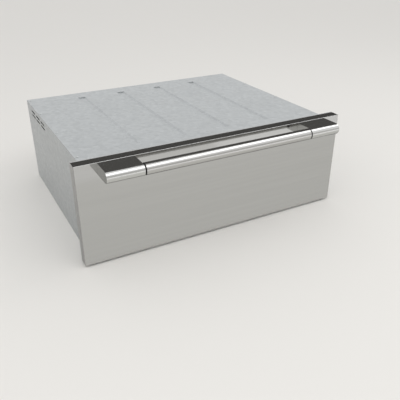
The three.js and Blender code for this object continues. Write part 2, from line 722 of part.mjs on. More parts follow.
/** One backward-curved blade between the hub and the rim, as a thin crescent. */
function fanBlade(index) {
  const root = BLADE_ROOT / 2;
  const tip = FAN_DIAMETER / 2 - FAN_SHEET;
  const steps = 3;
  const turn = (index / FAN_BLADES) * 2 * Math.PI;
  const edge = (offset) => Array.from({ length: steps + 1 }, (_, i) => {
    const share = i / steps;
    const radius = root + share * (tip - root);
    const angle = turn + THREE.MathUtils.degToRad(BLADE_SWEEP) * share ** 1.4 + offset / radius;
    return [fanAxis.x + radius * Math.cos(angle), fanAxis.z + radius * Math.sin(angle)];
  });
  const outline = [...edge(-FAN_SHEET / 2), ...edge(FAN_SHEET / 2).reverse()];
  return prismY(outline, fanBack - FAN_DEPTH, fanBack - FAN_SHEET / 2);
}

function fanWheel() {
  const { x, z } = fanAxis;
  const disc = rod("y", FAN_DIAMETER / 2, fanBack - FAN_SHEET, fanBack, x, z, 32);
  const hub = rod("y", FAN_HUB / 2, fanBack - FAN_DEPTH, fanBack, x, z, 16);
  const shaft = rod("y", FAN_SHAFT / 2, fanBack - FAN_SHEET, motorFront + MOTOR_LENGTH / 2, x, z, 12);
  const blades = Array.from({ length: FAN_BLADES }, (_, i) => fanBlade(i));
  return join(disc, hub, shaft, blades);
}

/** The fan's motor with its hat-shaped bracket, whose feet stand on the cavity's back wall. */
function fanMotor() {
  const { x, z } = fanAxis;
  const plateBack = motorFront;
  const sheet = LINER_SHEET;
  const foot = MOTOR_FOOT / 2;
  const leg = MOTOR_DIAMETER / 2;
  const y0 = linerBack + GAP;
  const outline = [
    [x - foot, y0], [x - leg, y0], [x - leg, plateBack - sheet], [x + leg, plateBack - sheet],
    [x + leg, y0], [x + foot, y0], [x + foot, y0 + sheet], [x + leg + sheet, y0 + sheet],
    [x + leg + sheet, plateBack], [x - leg - sheet, plateBack], [x - leg - sheet, y0 + sheet],
    [x - foot, y0 + sheet],
  ];
  const bracket = prismZ(outline, z - MOTOR_DIAMETER / 3, z + MOTOR_DIAMETER / 3);
  const radius = MOTOR_DIAMETER / 2;
  const edge = MOTOR_EDGE;
  const profile = [
    [0, 0], [radius - edge, 0], [radius, edge], [radius, MOTOR_LENGTH - edge], [radius - edge, MOTOR_LENGTH],
    [FAN_HUB / 2, MOTOR_LENGTH], [FAN_HUB / 2, MOTOR_LENGTH + edge], [0, MOTOR_LENGTH + edge],
  ];
  const can = turned(profile, 24).rotate([-90, 0, 0]).translate([x, plateBack - sheet, z]);
  const bore = rod("y", FAN_SHAFT / 2 + GAP, y0, plateBack + MOTOR_LENGTH / 2 + GAP, x, z, 16);
  return cut(join(bracket, can), bore);
}

function temperatureProbe() {
  const y0 = wallFront - PROBE_LENGTH;
  const stem = rod("y", PROBE_DIAMETER / 2, y0, linerBack + BACK_INSULATION, probePlace, probeLevel, 12);
  const nutFront = wallFront - GAP - PROBE_NUT_HEIGHT;
  const flange = rod("y", PROBE_NUT / 2, nutFront, wallFront - GAP, probePlace, probeLevel, 6);
  return join(stem, flange);
}

// -------------------- insulation
const woolFront = casingFront + FRAME_RETURN + GAP;
const beadTop = CASING_SHEET + BEAD_HEIGHT;

function backInsulation() {
  const y0 = linerBack + GAP;
  const slab = block(-plateHalf, plateHalf, y0, linerBack + BACK_INSULATION, FLOOR_LEVEL, cavityTop);
  const { x, z } = fanAxis;
  const half = MOTOR_FOOT / 2 + GAP;
  const radius = MOTOR_DIAMETER / 2;
  const motorWindow = block(x - half, x + half, y0 - 1, casingRear, z - radius, z + radius);
  const reach = TERMINAL_WINDOW / 2;
  const terminalWindow = roundedRectangle(
    -TERMINAL_SPACING, TERMINAL_SPACING, ELEMENT_LEVEL - reach, ELEMENT_LEVEL + reach, reach / 2,
  );
  const terminals = prismY(terminalWindow, y0 - 1, casingRear, { curveSegments: 3 });
  const probeHole = rod("y", PROBE_DIAMETER, y0 - 1, casingRear, probePlace, probeLevel, 12);
  return cut(slab, motorWindow, terminals, probeHole);
}

const roofTop = cavityTop + LINER_SHEET + GAP;
const insulation = {
  bottom: block(-plateHalf, plateHalf, woolFront, linerBack, beadTop + GAP, FLOOR_LEVEL - GAP),
  top: block(-plateHalf, plateHalf, woolFront, linerBack, roofTop, roofTop + ROOF_INSULATION),
  back: backInsulation(),
};

function sideInsulation() {
  const x0 = cavityHalf + LINER_SHEET + GAP;
  return block(x0, x0 + SIDE_INSULATION, woolFront, linerBack, FLOOR_LEVEL, cavityTop);
}

const shelfLevel = cavityTop + LINER_SHEET + ROOF_INSULATION + 2 * GAP;

/** The shelf over the roof insulation, turned down at the back, that carries the wiring. */
function wiringShelf() {
  const bend = linerBack + LINER_SHEET + GAP;
  const outline = [
    [woolFront, shelfLevel], [bend, shelfLevel], [bend, cavityTop + GAP],
    [bend + LINER_SHEET, cavityTop + GAP], [bend + LINER_SHEET, shelfLevel + LINER_SHEET],
    [woolFront, shelfLevel + LINER_SHEET],
  ];
  return prismX(outline, -plateHalf, plateHalf);
}

/** The power supply: a box with cooling fins along its back half. */
function powerSupply() {
  const z0 = shelfLevel + LINER_SHEET + GAP;
  const x0 = supplyPlace - SUPPLY_WIDTH / 2;
  const x1 = supplyPlace + SUPPLY_WIDTH / 2;
  const box = block(x0, x1, 0, SUPPLY_DEPTH, z0, z0 + SUPPLY_HEIGHT);
  const z1 = z0 + SUPPLY_HEIGHT;
  const grooves = spread(FINS, FIN_PITCH).map((x) => {
    const a = supplyPlace + x - FIN_PITCH / 4;
    const b = supplyPlace + x + FIN_PITCH / 4;
    return block(a, b, SUPPLY_DEPTH / 2, SUPPLY_DEPTH + 1, (z0 + z1) / 2, z1 + 1);
  });
  return cut(box, grooves);
}

piece(casing, "cavity_floor", cavityFloor(), MATERIALS.linerSteel);
piece(casing, "cavity_roof", linerTray(cavityTop, -1), MATERIALS.linerSteel);
piece(casing, "cavity_back", cavityBack(), MATERIALS.linerSteel);
piece(casing, "heating_element", heatingElement(), MATERIALS.elementSheath);
piece(casing, "fan_cover", fanCover(), MATERIALS.linerSteel);
piece(casing, "fan_wheel", fanWheel(), MATERIALS.motorSteel);
piece(casing, "fan_motor", fanMotor(), MATERIALS.motorSteel);
piece(casing, "temperature_probe", temperatureProbe(), MATERIALS.polishedSteel);
piece(casing, "wiring_shelf", wiringShelf(), MATERIALS.galvanised);
piece(casing, "power_supply", powerSupply(), MATERIALS.blackPlastic);
for (const [place, slab] of Object.entries(insulation)) {
  piece(casing, `insulation_${place}`, slab, MATERIALS.glassWool);
}

// -------------------- controls
const panelFace = casingFront + PANEL_RECESS; // the face that carries knob, button and lamp
const panelBack = panelFace + PANEL_SHEET;
const stemEnd = panelFace + STEM_LENGTH;
const knobX = panelCentre + KNOB_PLACE;
const buttonX = panelCentre + BUTTON_PLACE;
const lensX = panelCentre + LENS_PLACE;

/** A tray behind the header's window, whose floor is the control panel. */
function controlPanel() {
  const y0 = linerFront;
  const around = (reach, radius) =>
    roundedRectangle(panelLeft - reach, panelRight + reach, panelLow - reach, panelHigh + reach, radius);
  const flange = prismY(around(PANEL_SHEET + PANEL_FLANGE, 4), y0, y0 + PANEL_SHEET, { curveSegments: 2 });
  const walls = prismY(around(PANEL_SHEET, 5), y0, panelBack, { curveSegments: 2 });
  const recess = prismY(around(0, 4), y0 - 1, panelFace, { curveSegments: 2 });
  const holes = [
    rod("y", STEM_DIAMETER / 2 + GAP, panelFace - 1, panelBack + 1, knobX, panelLevel, 16),
    rod("y", BUTTON_DIAMETER / 2 + GAP, panelFace - 1, panelBack + 1, buttonX, panelLevel, 20),
    rod("y", LENS_DIAMETER / 2 + GAP, panelFace - 1, panelBack + 1, lensX, panelLevel, 16),
  ];
  return cut(join(flange, walls), recess, holes);
}

/** The electronics behind the panel, with a bush for the knob's stem and a well for the button. */
function controlUnit() {
  const y0 = panelBack + GAP;
  const z0 = panelLevel - CONTROL_HEIGHT / 2;
  const x0 = panelCentre - CONTROL_WIDTH / 2;
  const x1 = panelCentre + CONTROL_WIDTH / 2 + LENS_DIAMETER;
  const box = block(x0, x1, y0, y0 + CONTROL_DEPTH, z0, z0 + CONTROL_HEIGHT);
  const knobBore = rod("y", STEM_DIAMETER / 2 + GAP, y0 - 1, stemEnd + 1, knobX, panelLevel, 16);
  const wellRadius = BUTTON_DIAMETER / 2 + BUTTON_COLLAR + GAP;
  const wellEnd = y0 + BUTTON_COLLAR + BUTTON_TRAVEL + GAP;
  const well = rod("y", wellRadius, y0 - 1, wellEnd, buttonX, panelLevel, 20);
  const boreEnd = stemEnd + BUTTON_TRAVEL + 1;
  const buttonBore = rod("y", STEM_DIAMETER / 2 + GAP, y0 - 1, boreEnd, buttonX, panelLevel, 16);
  const lampBore = rod("y", LENS_DIAMETER / 2 + GAP, y0 - 1, y0 + LENS_REACH + 1, lensX, panelLevel, 16);
  return cut(box, knobBore, well, buttonBore, lampBore);
}

/** The temperature knob: a skirt, a fluted and tapered grip with a pointer rib, and its stem. */
function temperatureKnob() {
  const radius = KNOB_DIAMETER / 2;
  const grip = radius - KNOB_TAPER / 2;
  const end = radius - KNOB_TAPER;
  const chamfer = 1;
  const profile = [
    [0, 0], [radius, 0], [radius, KNOB_SKIRT], [grip, KNOB_SKIRT + chamfer],
    [end + chamfer, KNOB_LENGTH - chamfer], [end, KNOB_LENGTH], [0, KNOB_LENGTH],
  ];
  const body = turned(profile, 20);
  const flutes = Array.from({ length: KNOB_FLUTES }, (_, i) => {
    const angle = (i / KNOB_FLUTES) * 2 * Math.PI;
    const x = grip * Math.cos(angle);
    const z = grip * Math.sin(angle);
    return rod("z", KNOB_FLUTE, KNOB_SKIRT + chamfer, KNOB_LENGTH + 1, x, z, 6);
  });
  const half = POINTER_WIDTH / 2;
  const pointer = block(-half, half, 0, end + chamfer, KNOB_LENGTH - chamfer, KNOB_LENGTH + POINTER_HEIGHT);
  const place = [knobX, panelFace - GAP, panelLevel];
  const knob = join(cut(body, flutes), pointer).rotate([90, 0, 0]).translate(place);
  const stem = rod("y", STEM_DIAMETER / 2, panelFace - GAP - 1, stemEnd, knobX, panelLevel, 12);
  return join(knob, stem);
}

/** The on-off button: a cap, a collar behind the panel that keeps it in, and its stem. */
function powerButton() {
  const radius = BUTTON_DIAMETER / 2;
  const chamfer = 1;
  const dish = 0.8;
  const cap = [
    [0, 0], [radius, 0], [radius, BUTTON_LENGTH - chamfer], [radius - chamfer, BUTTON_LENGTH],
    [radius / 2, BUTTON_LENGTH - dish], [0, BUTTON_LENGTH - dish],
  ];
  const base = panelBack + GAP;
  const body = turned(cap, 20).rotate([90, 0, 0]).translate([buttonX, base, panelLevel]);
  const collar = rod("y", radius + BUTTON_COLLAR, base, base + BUTTON_COLLAR, buttonX, panelLevel, 20);
  const stem = rod("y", STEM_DIAMETER / 2, base, stemEnd, buttonX, panelLevel, 12);
  return join(body, collar, stem);
}

function pilotLens() {
  const radius = LENS_DIAMETER / 2;
  const rim = radius + 1;
  const seat = PANEL_SHEET + LENS_REACH;
  const profile = [
    [0, 0], [radius, 0], [radius, seat], [rim, seat], [rim, seat + LENS_REACH / 2],
    [radius / 2, seat + LENS_REACH], [0, seat + LENS_REACH],
  ];
  const back = panelFace - GAP + seat;
  return turned(profile, 16).rotate([90, 0, 0]).translate([lensX, back, panelLevel]);
}

piece(casing, "control_panel", controlPanel(), MATERIALS.linerSteel);
piece(casing, "control_unit", controlUnit(), MATERIALS.blackPlastic);
piece(casing, "temperature_knob", temperatureKnob(), MATERIALS.blackPlastic);
piece(casing, "power_button", powerButton(), MATERIALS.blackPlastic);
piece(casing, "pilot_lens", pilotLens(), MATERIALS.amberLens);

// -------------------- supply at the back
function junctionBox() {
  const x0 = boxPlace - BOX_WIDTH / 2;
  const x1 = boxPlace + BOX_WIDTH / 2;
  const z0 = boxLevel - BOX_HEIGHT / 2;
  const z1 = boxLevel + BOX_HEIGHT / 2;
  const y0 = casingRear + GAP;
  const y1 = y0 + BOX_DEPTH;
  const outer = block(x0, x1, y0, y1, z0, z1);
  const s = BOX_SHEET;
  const hollow = block(x0 + s, x1 - s, y0 + s, y1 + 1, z0 + s, z1 - s);
  const wireHole = rod("y", GLAND_DIAMETER / 2, y0 - 1, y0 + s + 1, boxPlace, boxLevel, 16);
  const glandY = y0 + BOX_DEPTH / 2;
  const glandHole = rod("z", GLAND_DIAMETER / 2 + GAP, z0 - 1, z0 + s + 1, boxPlace, glandY, 16);
  return cut(outer, hollow, wireHole, glandHole);
}

function junctionCover() {
  const y0 = casingRear + 2 * GAP + BOX_DEPTH;
  const halfX = BOX_WIDTH / 2;
  const z0 = boxLevel - BOX_HEIGHT / 2;
  const z1 = boxLevel + BOX_HEIGHT / 2;
  const outline = roundedRectangle(boxPlace - halfX, boxPlace + halfX, z0, z1, 3);
  return prismY(outline, y0, y0 + BOX_SHEET, { curveSegments: 3 });
}

/** A hollow gland: a thread through the box, a hexagon and a domed clamping nut. */
function cableGland() {
  const thread = GLAND_DIAMETER / 2;
  const inner = thread - GLAND_WALL;
  const seat = boxLevel - BOX_HEIGHT / 2 - GAP;
  const end = seat - GLAND_LENGTH;
  const hexagonEnd = seat - GLAND_THREAD;
  const y = casingRear + GAP + BOX_DEPTH / 2;
  const neck = rod("z", thread, hexagonEnd, seat + GLAND_THREAD, boxPlace, y, 16);
  const body = rod("z", GLAND_HEXAGON / 2, hexagonEnd, seat, boxPlace, y, 6);
  const height = hexagonEnd - end + 1;
  const profile = [
    [0, 0], [thread - GLAND_WALL / 2, 0], [thread, GLAND_DOME], [thread, height], [0, height],
  ];
  const dome = turned(profile, 16);
  const nut = dome.translate([boxPlace, y, end]);
  const bore = rod("z", inner, end - 1, seat + GLAND_THREAD + 1, boxPlace, y, 12);
  return cut(join(neck, body, nut), bore);
}

piece(casing, "junction_box", junctionBox(), MATERIALS.galvanised);
piece(casing, "junction_cover", junctionCover(), MATERIALS.galvanised);
piece(casing, "cable_gland", cableGland(), MATERIALS.blackPlastic);

// -------------------- slides
// A slide's section is given by the depth from the cavity's wall (w) and the height from its middle (h).
const slideRear = slideFront + SLIDE_LENGTH;
const ballRoom = 2 * (BALL_RADIUS + BALL_CLEARANCE);
const cabinetLip = SLIDE_HEIGHT / 2;
const middleLip = cabinetLip - SLIDE_SHEET - ballRoom;
const drawerLip = middleLip - SLIDE_SHEET - ballRoom;
const cageGap = CAGE_SHEET / 2;
const middleWeb = SLIDE_SHEET + CAGE_SHEET + 2 * cageGap;
const drawerEdge = middleWeb + SLIDE_SHEET + CAGE_SHEET + 2 * cageGap;
const lipEnd = SLIDE_DEPTH - SLIDE_SHEET - GAP;
const ballPlace = (drawerEdge + lipEnd) / 2;

/** A channel of sheet from w0 to w1, h high on both sides of the middle; its web is near or far. */
function channelSection(w0, w1, h, webAtFar = false) {
  const x = (w) => cavityHalf - GAP - w;
  const web = webAtFar ? [w1 - SLIDE_SHEET, w1] : [w0, w0 + SLIDE_SHEET];
  const bar = (a, b, low, high, y0, y1) => {
    return block(x(b), x(a), y0, y1, SLIDE_LEVEL + low, SLIDE_LEVEL + high);
  };
  return (y0, y1) => join(
    bar(...web, -h, h, y0, y1),
    bar(w0, w1, h - SLIDE_SHEET, h, y0, y1),
    bar(w0, w1, -h, SLIDE_SHEET - h, y0, y1),
  );
}

const cabinetMember = () => channelSection(0, lipEnd, cabinetLip)(slideFront, slideRear);
const middleMember = () => channelSection(middleWeb, lipEnd, middleLip)(slideFront, slideRear);
const drawerMember = () => channelSection(drawerEdge, SLIDE_DEPTH, drawerLip, true)(slideFront, slideRear);

/** A ball cage: a thin web behind the balls with a strip through each row of balls. */
function ballCage(webPlace, row) {
  const x = (w) => cavityHalf - GAP - w;
  const y0 = (slideFront + slideRear - CAGE_LENGTH) / 2;
  const y1 = y0 + CAGE_LENGTH;
  const inner = x(webPlace + CAGE_SHEET);
  const web = block(inner, x(webPlace), y0, y1, SLIDE_LEVEL - row, SLIDE_LEVEL + row);
  const rows = [-1, 1].map((sign) => {
    const z = SLIDE_LEVEL + sign * row;
    const strip = block(x(lipEnd), x(webPlace), y0, y1, z - CAGE_SHEET / 2, z + CAGE_SHEET / 2);
    const pitch = CAGE_LENGTH / BALLS_PER_ROW;
    const balls = spread(BALLS_PER_ROW, pitch).map((y) => {
      const ball = new THREE.IcosahedronGeometry(BALL_RADIUS);
      return solidOf(ball.translate(x(ballPlace), y + (y0 + y1) / 2, z));
    });
    return join(strip, balls);
  });
  return join(web, rows);
}

const outerRow = cabinetLip - SLIDE_SHEET - ballRoom / 2;
const innerRow = middleLip - SLIDE_SHEET - ballRoom / 2;
const outerCage = () => ballCage(SLIDE_SHEET + cageGap, outerRow);
const innerCage = () => ballCage(middleWeb + SLIDE_SHEET + cageGap, innerRow);

// -------------------- drawer front
const innerSheet = LINER_SHEET;
const shellBack = frontBack - innerSheet - GAP;
const frontHalf = FRONT_WIDTH / 2;

/** The front's outer shell: one sheet folded back on all four sides and in again behind. */
function frontShell() {
  const r = FRONT_EDGE_RADIUS;
  const outline = roundedRectangle(r - frontHalf, frontHalf - r, FRONT_LIFT + r, frontTop - r, r / 2);
  const bevel = { bevelEnabled: true, bevelSegments: 2, bevelSize: r, bevelThickness: r, curveSegments: 2 };
  const rounded = prismY(outline, frontFace + r, shellBack + 2 * r, bevel);
  const wide = FRONT_WIDTH;
  const high = 2 * FRONT_HEIGHT;
  const behind = block(-wide, wide, shellBack, shellBack + 8 * r, -high, high);
  const within = (inset, y0, y1) => {
    return block(inset - frontHalf, frontHalf - inset, y0, y1, FRONT_LIFT + inset, frontTop - inset);
  };
  const s = FRONT_SHEET;
  const hollow = within(s, frontFace + s, shellBack - s);
  const mouth = within(FRONT_RETURN, shellBack - 2 * s, shellBack + 1);
  return cut(rounded, behind, hollow, mouth);
}

const ventPlaces = spread(VENT_SLOTS, VENT_PITCH);
const ventOutlet = (headerBottom + panelLow) / 2 + GASKET_WIDTH + VENT_SLOT_HEIGHT;

function ventSlots(level, y0, y1) {
  return ventPlaces.map((x) => {
    return prismY(slotShape(x, level, VENT_SLOT_WIDTH, VENT_SLOT_HEIGHT), y0, y1, { curveSegments: 2 });
  });
}

/** The front's inner panel: moisture vents inside the seal and above it, and the ledge for the pan. */
function frontInnerPanel() {
  const half = frontHalf - INNER_MARGIN;
  const outline = roundedRectangle(-half, half, FRONT_LIFT + INNER_MARGIN, frontTop - INNER_MARGIN, 2);
  const y0 = frontBack - innerSheet;
  const plate = prismY(outline, y0, frontBack, { curveSegments: 2 });
  const ledgeHalf = railOuter - RAIL_FLANGE - GAP;
  const ledgeEnd = frontBack + LEDGE_DEPTH;
  const ledgeInner = ledgeEnd - RAIL_SHEET;
  const ledge = [
    [y0, railLevel - RAIL_SHEET], [ledgeInner, railLevel - RAIL_SHEET],
    [ledgeInner, railLevel - LEDGE_DEPTH], [ledgeEnd, railLevel - LEDGE_DEPTH],
    [ledgeEnd, railLevel], [y0, railLevel],
  ];
  const vents = [ventLevel, ventOutlet].flatMap((level) => ventSlots(level, y0 - 1, frontBack + 1));
  return cut(join(plate, prismX(ledge, -ledgeHalf, ledgeHalf)), vents);
}

function frontInsulation() {
  const y0 = frontFace + FRONT_SHEET + GAP;
  const y1 = shellBack - FRONT_SHEET - GAP;
  const half = frontHalf - FRONT_SHEET - GAP;
  const low = FRONT_LIFT + FRONT_SHEET + GAP;
  const high = frontTop - FRONT_SHEET - GAP;
  const slab = block(-half, half, y0, y1, low, high);
  const reach = VENT_PITCH / 2 - ventPlaces[0];
  const airLow = ventLevel - VENT_PITCH / 2;
  const airHigh = ventOutlet + VENT_PITCH / 3;
  const air = block(-reach, reach, (y0 + y1) / 2, y1 + 1, airLow, airHigh);
  return cut(slab, air);
}

/** The moisture control: a slotted strip that slides over the vents, with a tab to push it. */
function ventSlider() {
  const y0 = frontBack + GAP;
  const y1 = y0 + SLIDER_SHEET;
  const halfLength = -ventPlaces[0] + VENT_PITCH / 2;
  const halfHeight = VENT_SLOT_HEIGHT / 2 + SLIDER_MARGIN;
  const strip = block(-halfLength, halfLength, y0, y1, ventLevel - halfHeight, ventLevel + halfHeight);
  const grip = slotShape(0, ventLevel, SLIDER_TAB_WIDTH, SLIDER_TAB);
  const tab = prismY(grip, y0, y1 + SLIDER_TAB, { curveSegments: 2 });
  return join(cut(strip, ventSlots(ventLevel, y0 - 1, y1 + 1)), tab);
}

// -------------------- handle
const handleTop = frontTop - HANDLE_DROP;
const barRadius = HANDLE_DIAMETER / 2;
const barAxis = { y: frontFace - HANDLE_REACH, z: handleTop - barRadius };
const bracketOuter = HANDLE_LENGTH / 2;
const bracketInner = bracketOuter - BRACKET_WIDTH;
const ringOuter = bracketInner - GAP;
const ringInner = ringOuter - RING_WIDTH;
const barEnd = ringInner - GAP;
const spigotRadius = barRadius - HANDLE_WALL - GAP;

/** An end bracket: as wide as the palm, square to the front, its nose rounded to the bar's own curve. */
function handleBracket() {
  const c = BRACKET_EDGE;
  const outline = (inset) => {
    const shape = new THREE.Shape();
    const r = barRadius - inset;
    shape.moveTo(frontFace - GAP, barAxis.z - r);
    shape.lineTo(frontFace - GAP, barAxis.z + r);
    shape.lineTo(barAxis.y, barAxis.z + r);
    shape.absarc(barAxis.y, barAxis.z, r, Math.PI / 2, 1.5 * Math.PI, false);
    return shape;
  };
  const bevel = { bevelEnabled: true, bevelSegments: 2, bevelSize: c, bevelThickness: c, curveSegments: 8 };
  const body = prismX(outline(c), bracketInner + c, bracketOuter - c, bevel);
  const behind = block(0, FRONT_WIDTH, frontFace - GAP, frontFace + FRONT_THICKNESS, 0, 2 * FRONT_HEIGHT);
  const spigot = rod("x", spigotRadius, barEnd - SPIGOT_LENGTH, bracketInner + c, barAxis.y, barAxis.z, 20);
  return join(body.subtract(behind), spigot);
}

function handleRing() {
  const outer = rod("x", barRadius - RING_STEP, ringInner, ringOuter, barAxis.y, barAxis.z, 28);
  return outer.subtract(rod("x", spigotRadius + GAP, ringInner - 1, ringOuter + 1, barAxis.y, barAxis.z, 20));
}

function handleBar() {
  const outer = rod("x", barRadius, -barEnd, barEnd, barAxis.y, barAxis.z, 36);
  return outer.subtract(rod("x", barRadius - HANDLE_WALL, -barEnd - 1, barEnd + 1, barAxis.y, barAxis.z, 20));
}

piece(drawer, "front_shell", frontShell(), MATERIALS.brushedSteel);
piece(drawer, "front_inner_panel", frontInnerPanel(), MATERIALS.linerSteel);
piece(drawer, "front_insulation", frontInsulation(), MATERIALS.glassWool);
piece(drawer, "vent_slider", ventSlider(), MATERIALS.blackPlastic);
piece(drawer, "handle_bar", handleBar(), MATERIALS.brushedSteel);

// -------------------- drawer frame
const railFront = frontBack + GAP;
const railRear = casingFront + RAIL_END;
const railBottom = SLIDE_LEVEL - RAIL_REACH;
const railInner = railOuter - RAIL_SHEET;
const flangeEdge = railOuter - RAIL_FLANGE;

/** A side of the drawer's frame, for x > 0: a channel, open inwards, on the slide; it carries the pan. */
function drawerSide() {
  const plate = block(railInner, railOuter, railFront, railRear, railBottom, railLevel);
  const top = block(flangeEdge, railOuter, railFront, railRear, railLevel - RAIL_SHEET, railLevel);
  const bottom = block(flangeEdge, railOuter, railFront, railRear, railBottom, railBottom + RAIL_SHEET);
  return join(plate, top, bottom);
}

function drawerBackRail() {
  const half = railInner - GAP;
  const low = railBottom + RAIL_SHEET + GAP;
  const high = railLevel - RAIL_SHEET - GAP;
  const plate = block(-half, half, railRear - RAIL_SHEET, railRear, low, high);
  const shelfHalf = flangeEdge - GAP;
  const neck = block(-shelfHalf, shelfHalf, railRear - RAIL_SHEET, railRear, low, railLevel);
  const shelfLow = railLevel - RAIL_SHEET;
  const shelf = block(-shelfHalf, shelfHalf, railRear - RAIL_FLANGE, railRear, shelfLow, railLevel);
  return join(plate, neck, shelf);
}

// The pan hangs inside the frame by its rim
const panMouthX = flangeEdge - PAN_PLAY;
const panMouthFront = frontBack + LEDGE_DEPTH + PAN_PLAY;
const panMouthRear = railRear - RAIL_FLANGE - PAN_PLAY;
const panMiddle = (panMouthFront + panMouthRear) / 2;
const panMouthY = (panMouthRear - panMouthFront) / 2;
const rimLevel = railLevel + GAP;
const rimX = railOuter - PAN_PLAY;
const rimY = panMouthY + LEDGE_DEPTH - PAN_PLAY;
const panFloor = FLOOR_LEVEL + PAN_LIFT;

/** The pan's skin at a distance inside its outer face, from its rounded floor to above the rim. */
function panSkin(inset, top) {
  const ring = (out, z, corner) => ({
    halfX: panMouthX - out - inset,
    halfY: panMouthY - out - inset,
    radius: Math.max(corner - inset, 1),
    z,
  });
  const rings = [];
  const steps = 3;
  for (let i = 0; i <= steps; i++) {
    const angle = (i / steps) * (Math.PI / 2);
    const out = PAN_TAPER + PAN_FLOOR_RADIUS * (1 - Math.sin(angle));
    rings.push(ring(out, panFloor + inset + PAN_FLOOR_RADIUS * (1 - Math.cos(angle)), PAN_CORNER));
  }
  rings.push(ring(0, top, PAN_CORNER + PAN_TAPER));
  return loft(rings);
}

function servingPan() {
  const top = rimLevel + PAN_SHEET;
  const body = panSkin(0, top);
  const corner = PAN_CORNER + PAN_TAPER;
  const lip = { halfX: rimX, halfY: rimY, radius: corner };
  const rim = loft([{ ...lip, z: rimLevel }, { ...lip, z: top }]);
  return join(body, rim).subtract(panSkin(PAN_SHEET, top + 1)).translate([0, panMiddle, 0]);
}

/** A welded wire rack that stands on the pan's floor: frame wires on legs, and cross bars. */
function wireRack() {
  const inset = PAN_TAPER + PAN_FLOOR_RADIUS + RACK_MARGIN;
  const halfX = panMouthX - inset;
  const halfY = panMouthY - inset;
  const level = panFloor + PAN_SHEET + GAP + RACK_HEIGHT - RACK_WIRE / 2;
  const y0 = panMiddle - halfY;
  const y1 = panMiddle + halfY;
  const wireRadius = RACK_WIRE / 2;
  const along = [y0, y1].map((y) => rod("x", wireRadius, -halfX, halfX, y, level, 6));
  const across = [-halfX, 0, halfX].map((x) => rod("y", wireRadius, y0, y1, x, level, 6));
  const pitch = (2 * halfX) / (RACK_BARS + 1);
  const barLevel = level + (RACK_WIRE - RACK_BAR) / 2;
  const bars = spread(RACK_BARS, pitch).map((x) => {
    return rod("y", RACK_BAR / 2, y0 - RACK_BAR, y1 + RACK_BAR, x, barLevel, 5);
  });
  const foot = level + wireRadius - RACK_HEIGHT;
  const legs = [-halfX, 0, halfX].flatMap((x) => {
    return [y0, y1].map((y) => rod("z", wireRadius, foot, level, x, y, 6));
  });
  return join(along, across, bars, legs);
}

piece(drawer, "drawer_back_rail", drawerBackRail(), MATERIALS.linerSteel);
piece(drawer, "serving_pan", servingPan(), MATERIALS.polishedSteel);
piece(drawer, "wire_rack", wireRack(), MATERIALS.polishedSteel);

for (const [side, sign] of SIDES) {
  const fixed = new THREE.Group();
  const moving = new THREE.Group();
  fixed.scale.x = sign;
  moving.scale.x = sign;
  casing.add(fixed);
  drawer.add(moving);
  piece(fixed, `cavity_side_${side}`, cavitySide(), MATERIALS.linerSteel);
  piece(fixed, `insulation_${side}`, sideInsulation(), MATERIALS.glassWool);
  piece(fixed, `slide_cabinet_${side}`, cabinetMember(), MATERIALS.zincPlated);
  piece(fixed, `slide_outer_cage_${side}`, outerCage(), MATERIALS.hardenedBall);
  piece(fixed, `slide_middle_${side}`, middleMember(), MATERIALS.zincPlated);
  piece(fixed, `slide_inner_cage_${side}`, innerCage(), MATERIALS.hardenedBall);
  piece(moving, `slide_drawer_${side}`, drawerMember(), MATERIALS.zincPlated);
  piece(moving, `drawer_side_${side}`, drawerSide(), MATERIALS.linerSteel);
  piece(moving, `handle_bracket_${side}`, handleBracket(), MATERIALS.brushedSteel);
  piece(moving, `handle_ring_${side}`, handleRing(), MATERIALS.blackPlastic);
}

export default product;
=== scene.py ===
# %% [markdown]
# # A built-in warming drawer
# The object is a drawer that keeps plates and dishes warm: a steel casing that stands on a shelf,
# a heated cavity, and a drawer behind a brushed stainless front with a bar handle.
# The CAD model gives every size and every joint. This script gives the looks: it loads the packed
# model, replaces the solids whose edges and curves matter with finer ones, and paints all of them.
# Everything is in metres, with Z up and the front facing -Y.

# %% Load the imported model
import math
import bpy
import bmesh
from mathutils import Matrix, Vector


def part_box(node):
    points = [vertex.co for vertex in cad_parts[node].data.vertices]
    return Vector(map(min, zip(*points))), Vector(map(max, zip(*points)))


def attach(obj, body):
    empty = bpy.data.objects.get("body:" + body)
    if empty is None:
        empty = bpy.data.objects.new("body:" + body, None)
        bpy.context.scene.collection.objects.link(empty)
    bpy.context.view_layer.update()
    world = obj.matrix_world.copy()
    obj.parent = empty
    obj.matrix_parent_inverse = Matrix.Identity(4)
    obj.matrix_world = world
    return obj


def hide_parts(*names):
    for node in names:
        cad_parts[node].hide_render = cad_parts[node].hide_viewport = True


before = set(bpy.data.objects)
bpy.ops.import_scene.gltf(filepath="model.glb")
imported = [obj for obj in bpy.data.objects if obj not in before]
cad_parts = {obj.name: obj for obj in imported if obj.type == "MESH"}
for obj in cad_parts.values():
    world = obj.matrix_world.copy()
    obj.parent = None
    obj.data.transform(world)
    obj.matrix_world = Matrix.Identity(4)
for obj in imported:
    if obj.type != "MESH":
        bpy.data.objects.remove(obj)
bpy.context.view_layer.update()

bpy.ops.object.select_all(action="DESELECT")

# %% [markdown]
# ## The camera
# The photograph was taken from above the handle and to the left of the drawer. The place and the
# turn of the camera were worked out from the four corners of the front, which is a true rectangle
# of 756 by 262.5 mm. A plain lens with no shift is enough, because the picture's centre is on its axis.

# %% Camera
lens = bpy.data.cameras.new("photo_camera")
lens.sensor_width = 36
lens.lens = 45.112
camera = bpy.data.objects.new("photo_camera", lens)
camera.location = (-0.61103, -1.32371, 0.71200)
camera.rotation_euler = (math.radians(62.143), 0, math.radians(-28.545))
bpy.context.scene.collection.objects.link(camera)
bpy.context.scene.camera = camera
print("camera at", tuple(camera.location))

